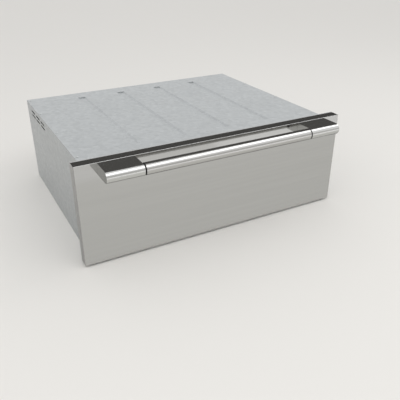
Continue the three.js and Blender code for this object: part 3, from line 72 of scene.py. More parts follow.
# %% [markdown]
# ## One function for nodes
# A material is a tree of nodes. Each node has settings, such as a noise's kind, and inputs, which
# hold a value or take a link from another node. One small function does all of that, so that every
# finish below reads as a list of its nodes. Colours are written as on paint cards, in sRGB hex, and
# one function turns them to the linear values that the renderer adds up.

# %% Colours and nodes
def linear(colour):
    """An sRGB hex colour as a linear colour with alpha."""
    channels = [int(colour[i:i + 2], 16) / 255 for i in (1, 3, 5)]
    return tuple(c / 12.92 if c <= 0.04045 else ((c + 0.055) / 1.055) ** 2.4 for c in channels) + (1,)


def add_node(tree, kind, inputs=None, **settings):
    """A node of that kind. Each input is given a value, or is linked where it is given a socket."""
    made = tree.nodes.new(kind)
    for name, value in settings.items():
        setattr(made, name, value)
    for name, value in (inputs or {}).items():
        if isinstance(value, bpy.types.NodeSocket):
            tree.links.new(value, made.inputs[name])
        else:
            made.inputs[name].default_value = value
    return made


def new_finish(name, colour, metallic, roughness, **more):
    """A material with one Principled shader, its tree and that shader."""
    material = bpy.data.materials.new(name)
    material.use_nodes = True
    shader = material.node_tree.nodes["Principled BSDF"]
    shader.inputs["Base Color"].default_value = linear(colour)
    shader.inputs["Metallic"].default_value = metallic
    shader.inputs["Roughness"].default_value = roughness
    for socket, value in more.items():
        shader.inputs[socket].default_value = value
    return material, material.node_tree, shader


MM = 0.001
finishes = {}

# %% [markdown]
# ## Studio
# The drawer stands on a pale floor that fills the picture. A long soft lamp hangs in front, high
# and to the right, and draws the white line along the bar handle. The sky is plain white to the
# camera and to every polished surface, and a little weaker as light.
# Polished metal shows its surroundings more than itself. Here the front's top edge, the flat tops of
# the brackets and the upper back of the bar have to mirror something dark, and the front itself
# something pale. A photographer would put up cards for that. Here the cards glow with their own grey
# instead of being lit, so what the metal shows of them is painted reflection. Three grey ones stand in
# the plane just behind the front and a paler one far behind the camera. Four pale ones lie on the
# floor, because that is what the upright front mirrors to a camera that looks down. Only reflections
# see the cards: they throw no shadow and don't appear in the picture. They are clear from behind, so
# the casing mirrors the white studio.

# %% Floor, sky and lamps
def stage_plane(name, size, location, rotation=(0, 0, 0)):
    """A flat piece of the studio, which isn't part of the drawer."""
    bpy.ops.mesh.primitive_plane_add(size=1, location=location, rotation=rotation)
    plane = bpy.context.object
    plane.name = name
    plane.scale = (size[0], size[1], 1)
    bpy.ops.object.transform_apply(location=True, rotation=True, scale=True)
    return plane


floor = stage_plane("floor", (200, 200), (0, 0, 0))
floor_paint, floor_tree, floor_shader = new_finish("floor_matt_paint", "#E4E2DE", 0, 0.9)
floor.data.materials.append(floor_paint)

world = bpy.data.worlds.new("white_studio")
bpy.context.scene.world = world
world.use_nodes = True
sky = world.node_tree
sky.nodes.clear()
ray = add_node(sky, "ShaderNodeLightPath")
seen_or_glossy = add_node(sky, "ShaderNodeMath", {
    0: ray.outputs["Is Camera Ray"], 1: ray.outputs["Is Glossy Ray"]}, operation="MAXIMUM")
seen = add_node(sky, "ShaderNodeMath", {
    0: seen_or_glossy.outputs[0], 1: ray.outputs["Is Transmission Ray"]}, operation="MAXIMUM")
SKY_SEEN = 1.0
SKY_LIGHT = 0.85
strength = add_node(sky, "ShaderNodeMapRange", {
    "Value": seen.outputs[0], "To Min": SKY_LIGHT, "To Max": SKY_SEEN})
background = add_node(sky, "ShaderNodeBackground", {
    "Color": (1, 1, 1, 1), "Strength": strength.outputs[0]})
add_node(sky, "ShaderNodeOutputWorld", {"Surface": background.outputs[0]})


def soft_lamp(name, location, target, width, height, watts):
    """A rectangle of light that faces its target, in metres and watts."""
    light = bpy.data.lights.new(name, "AREA")
    light.shape = "RECTANGLE"
    light.size = width
    light.size_y = height
    light.energy = watts
    lamp = bpy.data.objects.new(name, light)
    lamp.location = location
    lamp.rotation_euler = (Vector(target) - Vector(location)).to_track_quat("-Z", "Y").to_euler()
    bpy.context.scene.collection.objects.link(lamp)
    return lamp


soft_lamp("strip_over_the_front", (0.75, -1.27, 2.05), (0, -0.37, 0.25), width=3.4, height=0.92, watts=14.5)
soft_lamp("fill_from_the_left", (-2.6, -0.9, 1.8), (0, 0, 0.1), width=1.6, height=1.6, watts=10)


# %% Cards
def reflected_card(name, size, location, turn, grey, light=1.0, glow_towards_drawer=None):
    """A card that only mirrors see, and only from the side that it faces.

    A card on the floor may glow less from its front edge to its edge towards the drawer, as painted shade.
    """
    card = stage_plane(name, size, location, turn)
    reflection_glow = bpy.data.materials.new(name + "_reflection_glow")
    reflection_glow.use_nodes = True
    tree = reflection_glow.node_tree
    tree.nodes.clear()
    side = add_node(tree, "ShaderNodeNewGeometry")
    place = add_node(tree, "ShaderNodeTexCoord")
    depth = add_node(tree, "ShaderNodeSeparateXYZ", {0: place.outputs["Generated"]})
    if glow_towards_drawer is None:
        glow_towards_drawer = light
    # A floor card may glow less towards the drawer: painted shade in what the front mirrors near its foot.
    fade = add_node(tree, "ShaderNodeMapRange", {
        "Value": depth.outputs["Y"], "To Min": light, "To Max": glow_towards_drawer})
    # The card glows with its own grey instead of being lit: what the metal mirrors of it is painted
    # reflection.
    face = add_node(tree, "ShaderNodeEmission", {"Color": linear(grey), "Strength": fade.outputs[0]})
    clear = add_node(tree, "ShaderNodeBsdfTransparent")
    either = add_node(tree, "ShaderNodeMixShader", {
        0: side.outputs["Backfacing"], 1: face.outputs[0], 2: clear.outputs[0]})
    add_node(tree, "ShaderNodeOutputMaterial", {"Surface": either.outputs[0]})
    card.data.materials.append(reflection_glow)
    for ray_kind in ("camera", "diffuse", "transmission", "shadow"):
        setattr(card, "visible_" + ray_kind, False)
    return card


# The dark cards' glow: painted dark reflection on the front's top edge, the brackets' tops and the bar's
# upper back.
DARK_REFLECTION_GREY = "#5C5B59"
CARD_PLANE = -0.2835
CARD_LEVEL = 0.004  # just over the floor
UPRIGHT = (math.radians(90), 0, 0)
UPRIGHT_TURNED = (math.radians(90), 0, math.pi)
FLAT = (0, 0, 0)
cards = [
    reflected_card("card_over_the_front", (2.4, 0.42), (0, CARD_PLANE, 0.48), UPRIGHT, DARK_REFLECTION_GREY),
    reflected_card("card_left_of_the_front", (0.8, 0.27), (-0.79, CARD_PLANE, 0.135), UPRIGHT, DARK_REFLECTION_GREY),
    reflected_card("card_right_of_the_front", (0.8, 0.27), (0.79, CARD_PLANE, 0.135), UPRIGHT, DARK_REFLECTION_GREY),
    reflected_card("card_behind_the_camera", (12, 3), (0, -6, 1.5), UPRIGHT_TURNED, "#D2D1CF"),
    # The brightest card glows more than white and draws a painted light line along the bar.
    reflected_card("bright_card_on_the_floor", (6, 0.8), (0, -1.6, CARD_LEVEL), FLAT, "#FFFFFF", 1.4),
    # The card at the front's foot glows 6 per cent less towards the drawer: painted shade at the foot.
    reflected_card("card_at_the_foot", (6, 0.455), (0, -0.5525, CARD_LEVEL), FLAT, "#E3E2DD", 1.0, 0.94),
    reflected_card("pale_card_on_the_floor", (3, 0.42), (-1.2, -0.99, CARD_LEVEL), FLAT, "#E0DFDC", 1.12),
    reflected_card("paler_card_on_the_floor", (2.7, 0.42), (1.65, -0.99, CARD_LEVEL), FLAT, "#F0EFED", 1.13),
]
bpy.ops.object.select_all(action="DESELECT")
bpy.context.scene.view_settings.view_transform = "Standard"
print("stage: floor, sky,", len(bpy.data.lights), "lamps and", len(cards), "cards")

# %% [markdown]
# ## Brushed stainless steel
# The front, the bar and the brackets are austenitic stainless sheet, tube and bar, ground with a belt
# of about 180 grit and then brushed. The eye sees a warm grey metal whose reflections are drawn out
# across the grain, and faint hair lines along it. Real hair lines are 0.1 mm wide, far under a pixel
# here, so they are drawn 0.6 or 0.7 mm wide, and faint. They come from a noise that is stretched along the
# grain: it tints the metal by a few per cent, makes it a little rougher or smoother, and raises a
# slight bump. A grazing look sees less light on real brushed steel than on a mirror, and the shader's
# specular tint is that share.

# %% Brushed finishes
def brushed(name, colour, roughness, grain, width_mm, length_mm,
            tint=0.05, relief_mm=0.004, play=0.05, edge=0.7):
    """Stainless steel brushed along the axis "X" or "Y"; edge is its share of light at a grazing look."""
    edge_tint = {"Specular Tint": (edge, edge, edge, 1)}
    material, tree, shader = new_finish(name, colour, 1, roughness, **edge_tint)
    across, along = 1 / (width_mm * MM), 1 / (length_mm * MM)
    scale = [along if axis == grain else across for axis in "XYZ"]
    place = add_node(tree, "ShaderNodeTexCoord")
    drawn_out = add_node(tree, "ShaderNodeMapping", {"Vector": place.outputs["Object"], "Scale": scale})
    hair = add_node(tree, "ShaderNodeTexNoise", {
        "Vector": drawn_out.outputs[0], "Scale": 1.0, "Detail": 5.0, "Roughness": 0.65})
    broad = add_node(tree, "ShaderNodeTexNoise", {
        "Vector": drawn_out.outputs[0], "Scale": 0.07, "Detail": 2.0, "Roughness": 0.5})
    both = add_node(tree, "ShaderNodeMath", {0: hair.outputs[0], 1: broad.outputs[0]}, operation="ADD")
    light = [min(1, c * (1 + tint)) for c in linear(colour)[:3]] + [1]
    dark = [c * (1 - tint) for c in linear(colour)[:3]] + [1]
    share = add_node(tree, "ShaderNodeMapRange", {"Value": both.outputs[0], "From Min": 0.6, "From Max": 1.4})
    tinted = add_node(tree, "ShaderNodeMix", {0: share.outputs[0], 6: dark, 7: light}, data_type="RGBA")
    rough = add_node(tree, "ShaderNodeMapRange", {
        "Value": both.outputs[0], "From Min": 0.6, "From Max": 1.4,
        "To Min": roughness - play, "To Max": roughness + play})
    bump = add_node(tree, "ShaderNodeBump", {
        "Height": hair.outputs[0], "Strength": 1.0, "Distance": relief_mm * MM})
    tree.links.new(tinted.outputs[2], shader.inputs["Base Color"])
    tree.links.new(rough.outputs[0], shader.inputs["Roughness"])
    tree.links.new(bump.outputs[0], shader.inputs["Normal"])
    finishes[name] = material
    return material


brushed("stainless_sheet_brushed_lengthwise", "#C2C2C1", 0.10, "X", 0.7, 60,
        tint=0.03, relief_mm=0.002, play=0.015)
brushed("stainless_tube_brushed_lengthwise", "#C5C4C2", 0.19, "X", 0.6, 90, tint=0.05, play=0.03, edge=0.55)
brushed("stainless_block_brushed_lengthwise", "#CCCCCA", 0.17, "X", 0.7, 45, tint=0.05, play=0.03, edge=0.75)
brushed("stainless_pan_drawn_satin", "#C4C4C3", 0.24, "X", 1.2, 60, tint=0.03)
brushed("stainless_wire_bright_drawn", "#D0D0CF", 0.13, "Y", 0.6, 40, tint=0.03)
brushed("stainless_liner_cold_rolled", "#C3C4C4", 0.33, "X", 1.5, 40, tint=0.03)
print("brushed finishes:", ", ".join(finishes))

# %% [markdown]
# ## Other finishes
# Galvanised steel, zinc plate, moulded plastics, silicone and glass wool follow, each with the one
# or two things that the eye knows it by: the spangle of the zinc, the fine spark grain of a mould,
# the loose yellow fibres of the wool.

# %% Zinc-coated sheet
def zinc(name, colour, roughness, cell_mm, contrast, play=0.08):
    """Sheet with a zinc coat. The zinc froze in flat crystals, each with its own grey and its own gloss."""
    material, tree, shader = new_finish(name, colour, 1, roughness)
    place = add_node(tree, "ShaderNodeTexCoord")
    crystal = add_node(tree, "ShaderNodeTexVoronoi", {
        "Vector": place.outputs["Object"], "Scale": 1 / (cell_mm * MM), "Randomness": 1.0})
    grey = add_node(tree, "ShaderNodeSeparateColor", {0: crystal.outputs["Color"]})
    cloud = add_node(tree, "ShaderNodeTexNoise", {
        "Vector": place.outputs["Object"], "Scale": 9.0, "Detail": 3.0})
    mixed = add_node(tree, "ShaderNodeMath", {0: grey.outputs[0], 1: cloud.outputs[0]}, operation="ADD")
    light = [min(1, c * (1 + contrast)) for c in linear(colour)[:3]] + [1]
    dark = [c * (1 - contrast) for c in linear(colour)[:3]] + [1]
    share = add_node(tree, "ShaderNodeMapRange", {
        "Value": mixed.outputs[0], "From Min": 0.3, "From Max": 1.7})
    tinted = add_node(tree, "ShaderNodeMix", {0: share.outputs[0], 6: dark, 7: light}, data_type="RGBA")
    rough = add_node(tree, "ShaderNodeMapRange", {
        "Value": grey.outputs[1], "To Min": roughness - play, "To Max": roughness + play})
    tree.links.new(tinted.outputs[2], shader.inputs["Base Color"])
    tree.links.new(rough.outputs[0], shader.inputs["Roughness"])
    finishes[name] = material
    return material


zinc("steel_sheet_hot_dip_galvanised", "#B6B9BA", 0.45, 9.0, 0.07)
zinc("steel_strip_zinc_plated", "#C2C5C4", 0.30, 6.0, 0.02, play=0.02)
zinc("steel_balls_hardened_polished", "#D6D8DA", 0.12, 0.8, 0.02, play=0.02)
zinc("steel_motor_can_painted_grey", "#84888B", 0.45, 3.0, 0.03, play=0.04)


# %% Moulded and fibrous materials
def moulded(name, colour, roughness, grain_mm, relief_mm, tint=0.04, **more):
    """A moulded plastic or rubber: the mould's fine spark grain raises the skin a little."""
    material, tree, shader = new_finish(name, colour, 0, roughness, **more)
    place = add_node(tree, "ShaderNodeTexCoord")
    grain = add_node(tree, "ShaderNodeTexNoise", {
        "Vector": place.outputs["Object"], "Scale": 1 / (grain_mm * MM), "Detail": 3.0, "Roughness": 0.6})
    light = [min(1, c * (1 + tint) + 0.002) for c in linear(colour)[:3]] + [1]
    dark = [c * (1 - tint) for c in linear(colour)[:3]] + [1]
    tinted = add_node(tree, "ShaderNodeMix", {0: grain.outputs[0], 6: dark, 7: light}, data_type="RGBA")
    rough = add_node(tree, "ShaderNodeMapRange", {
        "Value": grain.outputs[0], "To Min": roughness - 0.07, "To Max": roughness + 0.07})
    bump = add_node(tree, "ShaderNodeBump", {
        "Height": grain.outputs[0], "Strength": 1.0, "Distance": relief_mm * MM})
    tree.links.new(tinted.outputs[2], shader.inputs["Base Color"])
    tree.links.new(rough.outputs[0], shader.inputs["Roughness"])
    tree.links.new(bump.outputs[0], shader.inputs["Normal"])
    finishes[name] = material
    return material


moulded("polyamide_black_moulded", "#1D1D1F", 0.45, 0.8, 0.02)
moulded("silicone_black_joint_ring", "#0B0B0C", 0.6, 0.8, 0.01, **{"Specular IOR Level": 0.2})
moulded("print_ink_white", "#DEDEDA", 0.55, 0.8, 0.005)
moulded("steel_etched_dark", "#2A2A2B", 0.55, 0.6, 0.005)
moulded("silicone_black_extruded", "#1B1B1C", 0.62, 1.2, 0.02)
moulded("silicone_dark_grey_extruded", "#3B3B3D", 0.62, 1.2, 0.02)
moulded("polycarbonate_amber_moulded", "#D8892C", 0.18, 2.0, 0.005)
moulded("glass_wool_board", "#D8CA93", 0.95, 2.2, 0.9, tint=0.3)
moulded("element_sheath_alloy_annealed", "#55564F", 0.5, 1.5, 0.01, tint=0.2)
print("finishes:", ", ".join(finishes))

# %% [markdown]
# ## Tools for modelling
# New pieces are modelled as by hand: a primitive is put at its size and place, and then shaped in
# edit mode. What is clicked with the mouse in a window is picked here by place or by normal, so two
# small functions do that: one opens a piece with just the wanted faces or edges selected, and one
# closes it, smooths its soft edges and leaves its place in its mesh.

# %% Modelling helpers
X, Y, Z = 0, 1, 2


def box_of(low, high, name):
    """A box between two corners, in millimetres, as a new piece in edit-ready state."""
    bpy.ops.object.select_all(action="DESELECT")
    centre = [(a + b) / 2 * MM for a, b in zip(low, high)]
    size = [(b - a) * MM for a, b in zip(low, high)]
    bpy.ops.mesh.primitive_cube_add(size=1, location=centre, scale=size)
    bpy.ops.object.transform_apply(location=True, rotation=True, scale=True)
    piece = bpy.context.object
    piece.name = name
    return piece


def rod_of(axis, radius, start, end, centre, name, sides=64):
    """A round bar along an axis between two places, in millimetres; centre is where its centre line lies."""
    bpy.ops.object.select_all(action="DESELECT")
    middle = (start + end) / 2
    place = {"X": (middle, *centre), "Y": (centre[0], middle, centre[1]), "Z": (*centre, middle)}[axis]
    turn = {"X": (0, math.pi / 2, 0), "Y": (math.pi / 2, 0, 0), "Z": (0, 0, 0)}[axis]
    bpy.ops.mesh.primitive_cylinder_add(vertices=sides, radius=radius * MM, depth=(end - start) * MM,
                                        location=[v * MM for v in place], rotation=turn)
    bpy.ops.object.transform_apply(location=True, rotation=True, scale=True)
    piece = bpy.context.object
    piece.name = name
    return piece


def pick(piece, kind, test):
    """Opens the piece in edit mode with just the faces, edges or corners selected that pass the test."""
    bpy.context.view_layer.objects.active = piece
    if bpy.context.mode != "EDIT_MESH":
        bpy.ops.object.mode_set(mode="EDIT")
    bpy.ops.mesh.select_mode(type={"faces": "FACE", "edges": "EDGE", "verts": "VERT"}[kind])
    bpy.ops.mesh.select_all(action="DESELECT")
    mesh = bmesh.from_edit_mesh(piece.data)
    chosen = [part for part in getattr(mesh, kind) if test(part)]
    for part in chosen:
        part.select_set(True)
    mesh.select_flush_mode()
    bmesh.update_edit_mesh(piece.data)
    return len(chosen)


def both_ends(axis, value, slack=0.02):
    """A test for edges: both ends lie in the plane where that coordinate has the value, in millimetres."""
    return lambda edge: all(abs(vert.co[axis] / MM - value) < slack for vert in edge.verts)


def across(axis):
    """A test for edges: both ends have the same coordinate on that axis."""
    return lambda edge: abs(edge.verts[0].co[axis] - edge.verts[1].co[axis]) < 1e-6


def apply_modifier(piece, kind, **settings):
    """Adds a modifier with its settings and applies it."""
    modifier = piece.modifiers.new(kind.lower(), kind)
    for name, value in settings.items():
        setattr(modifier, name, value)
    bpy.context.view_layer.objects.active = piece
    bpy.ops.object.modifier_apply(modifier=modifier.name)


def close(piece, body, finish, replaced=(), smooth=35):
    """Ends the edit, shades the piece, paints it, and lets it ride on its body.

    Weighted normals keep a flat face flat to its border, so that it mirrors straight lines as straight.
    """
    if bpy.context.mode == "EDIT_MESH":
        bpy.ops.object.mode_set(mode="OBJECT")
    bpy.ops.object.select_all(action="DESELECT")
    piece.select_set(True)
    bpy.context.view_layer.objects.active = piece
    bpy.ops.object.shade_smooth_by_angle(angle=math.radians(smooth))
    apply_modifier(piece, "WEIGHTED_NORMAL", weight=100, keep_sharp=True)
    piece.data.materials.clear()
    piece.data.materials.append(finishes[finish])
    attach(piece, body)
    if replaced:
        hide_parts(*replaced)
    bpy.ops.object.select_all(action="DESELECT")
    print(piece.name, "has", len(piece.data.polygons), "faces")
    return piece


def corners_mm(node):
    """A CAD node's lowest and highest corners, in millimetres."""
    low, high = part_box(node)
    return [v / MM for v in low], [v / MM for v in high]


def bent_rod(name, radius, stops, bend, height, sides=12, steps=6):
    """A round wire in a level plane along straight runs with bent corners, in millimetres.

    A ring of points is extruded along each run and spun round each corner. Spin turns clockwise for a
    positive angle, so a left turn takes a negative one.
    """
    bpy.ops.object.select_all(action="DESELECT")
    places = [Vector((x, y, height)) * MM for x, y in stops]
    ways = [(after - before).normalized() for before, after in zip(places, places[1:])]
    turn = ways[0].to_track_quat("Z", "Y").to_euler()
    bpy.ops.mesh.primitive_circle_add(vertices=sides, radius=radius * MM, fill_type="NOTHING",
                                      location=places[0], rotation=turn)
    bpy.ops.object.transform_apply(location=True, rotation=True, scale=True)
    rod = bpy.context.object
    rod.name = name
    bpy.ops.object.mode_set(mode="EDIT")
    bpy.ops.mesh.select_mode(type="EDGE")
    bpy.ops.mesh.select_all(action="SELECT")
    reached = places[0]
    for number, way in enumerate(ways):
        last = number == len(ways) - 1
        goal = places[number + 1] - way * (0 if last else bend * MM)
        bpy.ops.mesh.extrude_region_move(TRANSFORM_OT_translate={"value": goal - reached})
        if last:
            break
        after = ways[number + 1]
        left = 1 if way.cross(after).z > 0 else -1
        centre = goal + Vector((-way.y, way.x, 0)) * left * bend * MM
        bpy.ops.mesh.spin(steps=steps, angle=-left * math.pi / 2, center=centre, axis=(0, 0, 1))
        reached = places[number + 1] + after * bend * MM
    bpy.ops.mesh.select_all(action="SELECT")
    bpy.ops.mesh.remove_doubles(threshold=1e-6)
    bpy.ops.mesh.fill_holes(sides=0)
    bpy.ops.mesh.select_all(action="SELECT")
    bpy.ops.mesh.normals_make_consistent(inside=False)
    bpy.ops.object.mode_set(mode="OBJECT")
    return rod


def copy_of(piece, name, move=(0, 0, 0), turn=(0, 0, 0)):
    """A copy with its own mesh, turned about the origin and then moved by millimetres, within its mesh."""
    bpy.ops.object.select_all(action="DESELECT")
    piece.select_set(True)
    bpy.context.view_layer.objects.active = piece
    bpy.ops.object.duplicate(linked=False)
    twin = bpy.context.object
    twin.name = name
    twin.rotation_euler = turn
    twin.location = [value * MM for value in move]
    bpy.ops.object.transform_apply(location=True, rotation=True, scale=True)
    return twin


def joined(pieces, name):
    """One piece out of several."""
    if bpy.context.mode == "EDIT_MESH":
        bpy.ops.object.mode_set(mode="OBJECT")
    bpy.ops.object.select_all(action="DESELECT")
    for piece in pieces:
        piece.select_set(True)
    bpy.context.view_layer.objects.active = pieces[0]
    bpy.ops.object.join()
    pieces[0].name = name
    return pieces[0]


def rim_at(axis, value, radius, centre):
    """A test for edges: both ends lie in the plane where the coordinate has the value, on that radius."""
    flat = both_ends(axis, value)

    def test(edge):
        spokes = [vert.co / MM - Vector(centre) for vert in edge.verts]
        for spoke in spokes:
            spoke[axis] = 0
        return flat(edge) and all(abs(spoke.length - radius) < 0.05 for spoke in spokes)

    return test

# %% [markdown]
# ## Drawer front
# The front is one sheet of 1.5 mm, folded back on all four sides and in again behind, with welded
# and ground corners. From above, the outside of the fold is the thin bright line along the top edge,
# so it has to be a real curve. Solidify would cross itself inside so tight a curve. So the shell is
# made as a block is hollowed: the back of a box is inset, pushed in by the sheet's thickness,
# widened behind the return and pushed on to the front wall. Then its outer edges are bevelled.

# %% Front
SHEET = 1.5
FOLD_RADIUS = 1
RETURN = 14
low, high = corners_mm("front_shell")
front = box_of(low, high, "front_skin")
pick(front, "faces", lambda face: face.normal.y > 0.9)
bpy.ops.mesh.inset(thickness=RETURN * MM)
bpy.ops.mesh.extrude_region_move(TRANSFORM_OT_translate={"value": (0, -SHEET * MM, 0)})
bpy.ops.mesh.extrude_region_move(TRANSFORM_OT_translate={"value": (0, 0, 0)})
width, depth, height = (high[axis] - low[axis] for axis in (X, Y, Z))
wider, taller = ((size - 2 * SHEET) / (size - 2 * RETURN) for size in (width, height))
middle = [(low[axis] + high[axis]) / 2 * MM for axis in (X, Y, Z)]
bpy.ops.transform.resize(value=(wider, 1, taller), center_override=middle)
bpy.ops.mesh.extrude_region_move(TRANSFORM_OT_translate={"value": (0, -(depth - 2 * SHEET) * MM, 0)})


def on_outer_fold(edge):
    """True where both ends lie in at least two of the outer planes."""
    shared = 0
    for axis in (X, Y, Z):
        planes = (low[axis], high[axis])
        shared += all(min(abs(vert.co[axis] / MM - plane) for plane in planes) < 0.01 for vert in edge.verts)
    return shared >= 2


print("folds:", pick(front, "edges", on_outer_fold))
bpy.ops.mesh.bevel(offset=FOLD_RADIUS * MM, segments=5, affect="EDGES")
close(front, "drawer", "stainless_sheet_brushed_lengthwise", ["front_shell"])

# %% [markdown]
# ## Handle
# The handle is a tube between two end brackets that are cut from flat bar: as wide as a palm, flat on
# top and rounded in front to the tube's own curve. A matt black ring sits in each joint.
# The bracket starts as a box. Its two long front edges get a bevel of half its height, less a hair
# that keeps the two bevels apart, which makes the half-round nose. Then the edges of its ends are
# broken by a small bevel. The bar is a rod whose ends are inset and pushed in as the tube's bores.

# %% Brackets
NOSE_SEGMENTS = 20
NOSE_FLAT = 0.005
EDGE_BREAK = 0.8
RING_GAP = 0.3  # between a bracket and its ring
for side in ("left", "right"):
    low, high = corners_mm("handle_bracket_" + side)
    ring_low, ring_high = corners_mm("handle_ring_" + side)
    if side == "left":
        start, end = low[X], ring_low[X] - RING_GAP
    else:
        start, end = ring_high[X] + RING_GAP, high[X]
    bracket = box_of((start, low[Y], low[Z]), (end, high[Y], high[Z]), "handle_bracket_with_nose_" + side)
    radius = (high[Z] - low[Z]) / 2
    in_front, behind = both_ends(Y, low[Y]), both_ends(Y, high[Y])
    at_start, at_end = both_ends(X, start), both_ends(X, end)
    pick(bracket, "edges", lambda edge: in_front(edge) and not across(X)(edge))
    bpy.ops.mesh.bevel(offset=(radius - NOSE_FLAT) * MM, segments=NOSE_SEGMENTS, affect="EDGES")
    pick(bracket, "edges", lambda edge: (at_start(edge) or at_end(edge)) and not behind(edge))
    bpy.ops.mesh.bevel(offset=EDGE_BREAK * MM, segments=3, affect="EDGES", clamp_overlap=True)
    close(bracket, "drawer", "stainless_block_brushed_lengthwise", ["handle_bracket_" + side])

# %% Bar and rings
TUBE_WALL = 3
TUBE_SIDES = 96
BORES_END = 0.9  # the bores end at this share of the half length
RING_EDGE = 0.3
low, high = corners_mm("handle_bar")
bar_axis = ((low[Y] + high[Y]) / 2, (low[Z] + high[Z]) / 2)
bar_middle = (0, bar_axis[0] * MM, bar_axis[1] * MM)
bar_radius = (high[Z] - low[Z]) / 2
bar = rod_of("X", bar_radius, low[X], high[X], bar_axis, "handle_tube", sides=TUBE_SIDES)
pick(bar, "faces", lambda face: abs(face.normal.x) > 0.9)
bpy.ops.mesh.inset(thickness=TUBE_WALL * MM)
bpy.ops.mesh.extrude_region_move(TRANSFORM_OT_translate={"value": (0, 0, 0)})
bpy.ops.transform.resize(value=(BORES_END, 1, 1), center_override=bar_middle)
close(bar, "drawer", "stainless_tube_brushed_lengthwise", ["handle_bar"])

for side in ("left", "right"):
    low, high = corners_mm("handle_ring_" + side)
    ring_radius = (high[Z] - low[Z]) / 2
    ring_name = "handle_joint_ring_" + side
    ring = rod_of("X", ring_radius, low[X], high[X], bar_axis, ring_name, sides=TUBE_SIDES)
    pick(ring, "edges", across(X))
    bpy.ops.mesh.bevel(offset=RING_EDGE * MM, segments=2, affect="EDGES")
    close(ring, "drawer", "silicone_black_joint_ring", ["handle_ring_" + side])

# %% [markdown]
# ## Serving pan
# The pan is deep-drawn from one sheet: a press pushes the sheet through a ring, so its walls lean,
# its corners and its floor's edge are round, and its rim lies flat on the drawer's frame. A box with
# a smaller floor gets its upright edges and its floor's edge bevelled. Its top is taken off, the open
# edge is pulled outwards as the rim, and Solidify gives it the sheet's thickness.

# %% Pan
PAN_SHEET = 1.2
PAN_TAPER = 5
PAN_CORNER = 35
PAN_FLOOR_RADIUS = 14
RIM = 14
RIM_RADIUS = 3
rim_low, rim_high = corners_mm("serving_pan")
low = [rim_low[X] + RIM, rim_low[Y] + RIM, rim_low[Z]]
high = [rim_high[X] - RIM, rim_high[Y] - RIM, rim_high[Z] - PAN_SHEET]
depth = high[Y] - low[Y]
pan_middle = (0, (low[Y] + high[Y]) / 2 * MM, 0)
pan = box_of(low, high, "serving_pan_drawn")
pick(pan, "faces", lambda face: face.normal.z < -0.9)
taper = ((high[X] - PAN_TAPER) / high[X], 1 - 2 * PAN_TAPER / depth, 1)
bpy.ops.transform.resize(value=taper, center_override=pan_middle)
pick(pan, "edges", lambda edge: not across(Z)(edge))
bpy.ops.mesh.bevel(offset=PAN_CORNER * MM, segments=10, affect="EDGES")
pick(pan, "edges", both_ends(Z, low[Z]))
bpy.ops.mesh.bevel(offset=PAN_FLOOR_RADIUS * MM, segments=6, affect="EDGES")
pick(pan, "faces", lambda face: face.normal.z > 0.9)
bpy.ops.mesh.delete(type="FACE")
pick(pan, "edges", lambda edge: edge.is_boundary)
bpy.ops.mesh.extrude_region_move(TRANSFORM_OT_translate={"value": (0, 0, 0)})
out_to_rim = (rim_high[X] / high[X], (rim_high[Y] - rim_low[Y]) / depth, 1)
bpy.ops.transform.resize(value=out_to_rim, center_override=pan_middle)


def where_rim_turns_down(edge):
    """True for the inner edge of the rim, between a level face and a wall."""
    if edge.is_boundary or not both_ends(Z, high[Z])(edge):
        return False
    slopes = [abs(face.normal.z) for face in edge.link_faces]
    return max(slopes) > 0.9 and min(slopes) < 0.5


pick(pan, "edges", where_rim_turns_down)
bpy.ops.mesh.bevel(offset=RIM_RADIUS * MM, segments=4, affect="EDGES")
bpy.ops.object.mode_set(mode="OBJECT")
apply_modifier(pan, "SOLIDIFY", thickness=PAN_SHEET * MM, offset=-1)
close(pan, "drawer", "stainless_pan_drawn_satin", ["serving_pan"], smooth=40)

# %% [markdown]
# ## Wire rack
# The plates stand on a rack of drawn wire in the pan. Thick wire is bent to a frame with six short
# legs, and thinner bars are welded across its top. One bar and one leg are modelled and copied.

# %% Rack
FRAME_WIRE, FRAME_BEND = 2.5, 8
BAR_WIRE = 1.6
WIRE_SIDES = 12
RACK_X, RACK_FRONT, RACK_BACK = 266.9, -227, 133
WIRE_LEVEL, BAR_LEVEL, FOOT_LEVEL = 66.5, 67.4, 55
BARS, BAR_PITCH, BAR_END = 10, 48.53, 3.2
BAR_ROUND, FOOT_ROUND = 1.1, 1.8
LEG_X = RACK_X - 14
outline = [(0, RACK_FRONT), (RACK_X, RACK_FRONT), (RACK_X, RACK_BACK), (-RACK_X, RACK_BACK),
           (-RACK_X, RACK_FRONT), (0, RACK_FRONT)]
parts = [
    bent_rod("rack_frame", FRAME_WIRE, outline, FRAME_BEND, WIRE_LEVEL, sides=WIRE_SIDES),
    rod_of("Y", FRAME_WIRE, RACK_FRONT, RACK_BACK, (0, WIRE_LEVEL), "rack_middle_wire", sides=WIRE_SIDES),
]
bar_ends = (RACK_FRONT - BAR_END, RACK_BACK + BAR_END)
bar = rod_of("Y", BAR_WIRE, *bar_ends, (0, BAR_LEVEL), "rack_bar", sides=WIRE_SIDES)
pick(bar, "edges", across(Y))
bpy.ops.mesh.bevel(offset=BAR_ROUND * MM, segments=3, affect="EDGES")
bpy.ops.object.mode_set(mode="OBJECT")
for number in range(BARS):
    bar_x = (number - (BARS - 1) / 2) * BAR_PITCH
    parts.append(copy_of(bar, "rack_bar_copy", move=(bar_x, 0, 0)))
bpy.data.objects.remove(bar)
leg = rod_of("Z", FRAME_WIRE, FOOT_LEVEL, WIRE_LEVEL, (0, 0), "rack_leg", sides=WIRE_SIDES)
pick(leg, "edges", both_ends(Z, FOOT_LEVEL))
bpy.ops.mesh.bevel(offset=FOOT_ROUND * MM, segments=4, affect="EDGES")
bpy.ops.object.mode_set(mode="OBJECT")
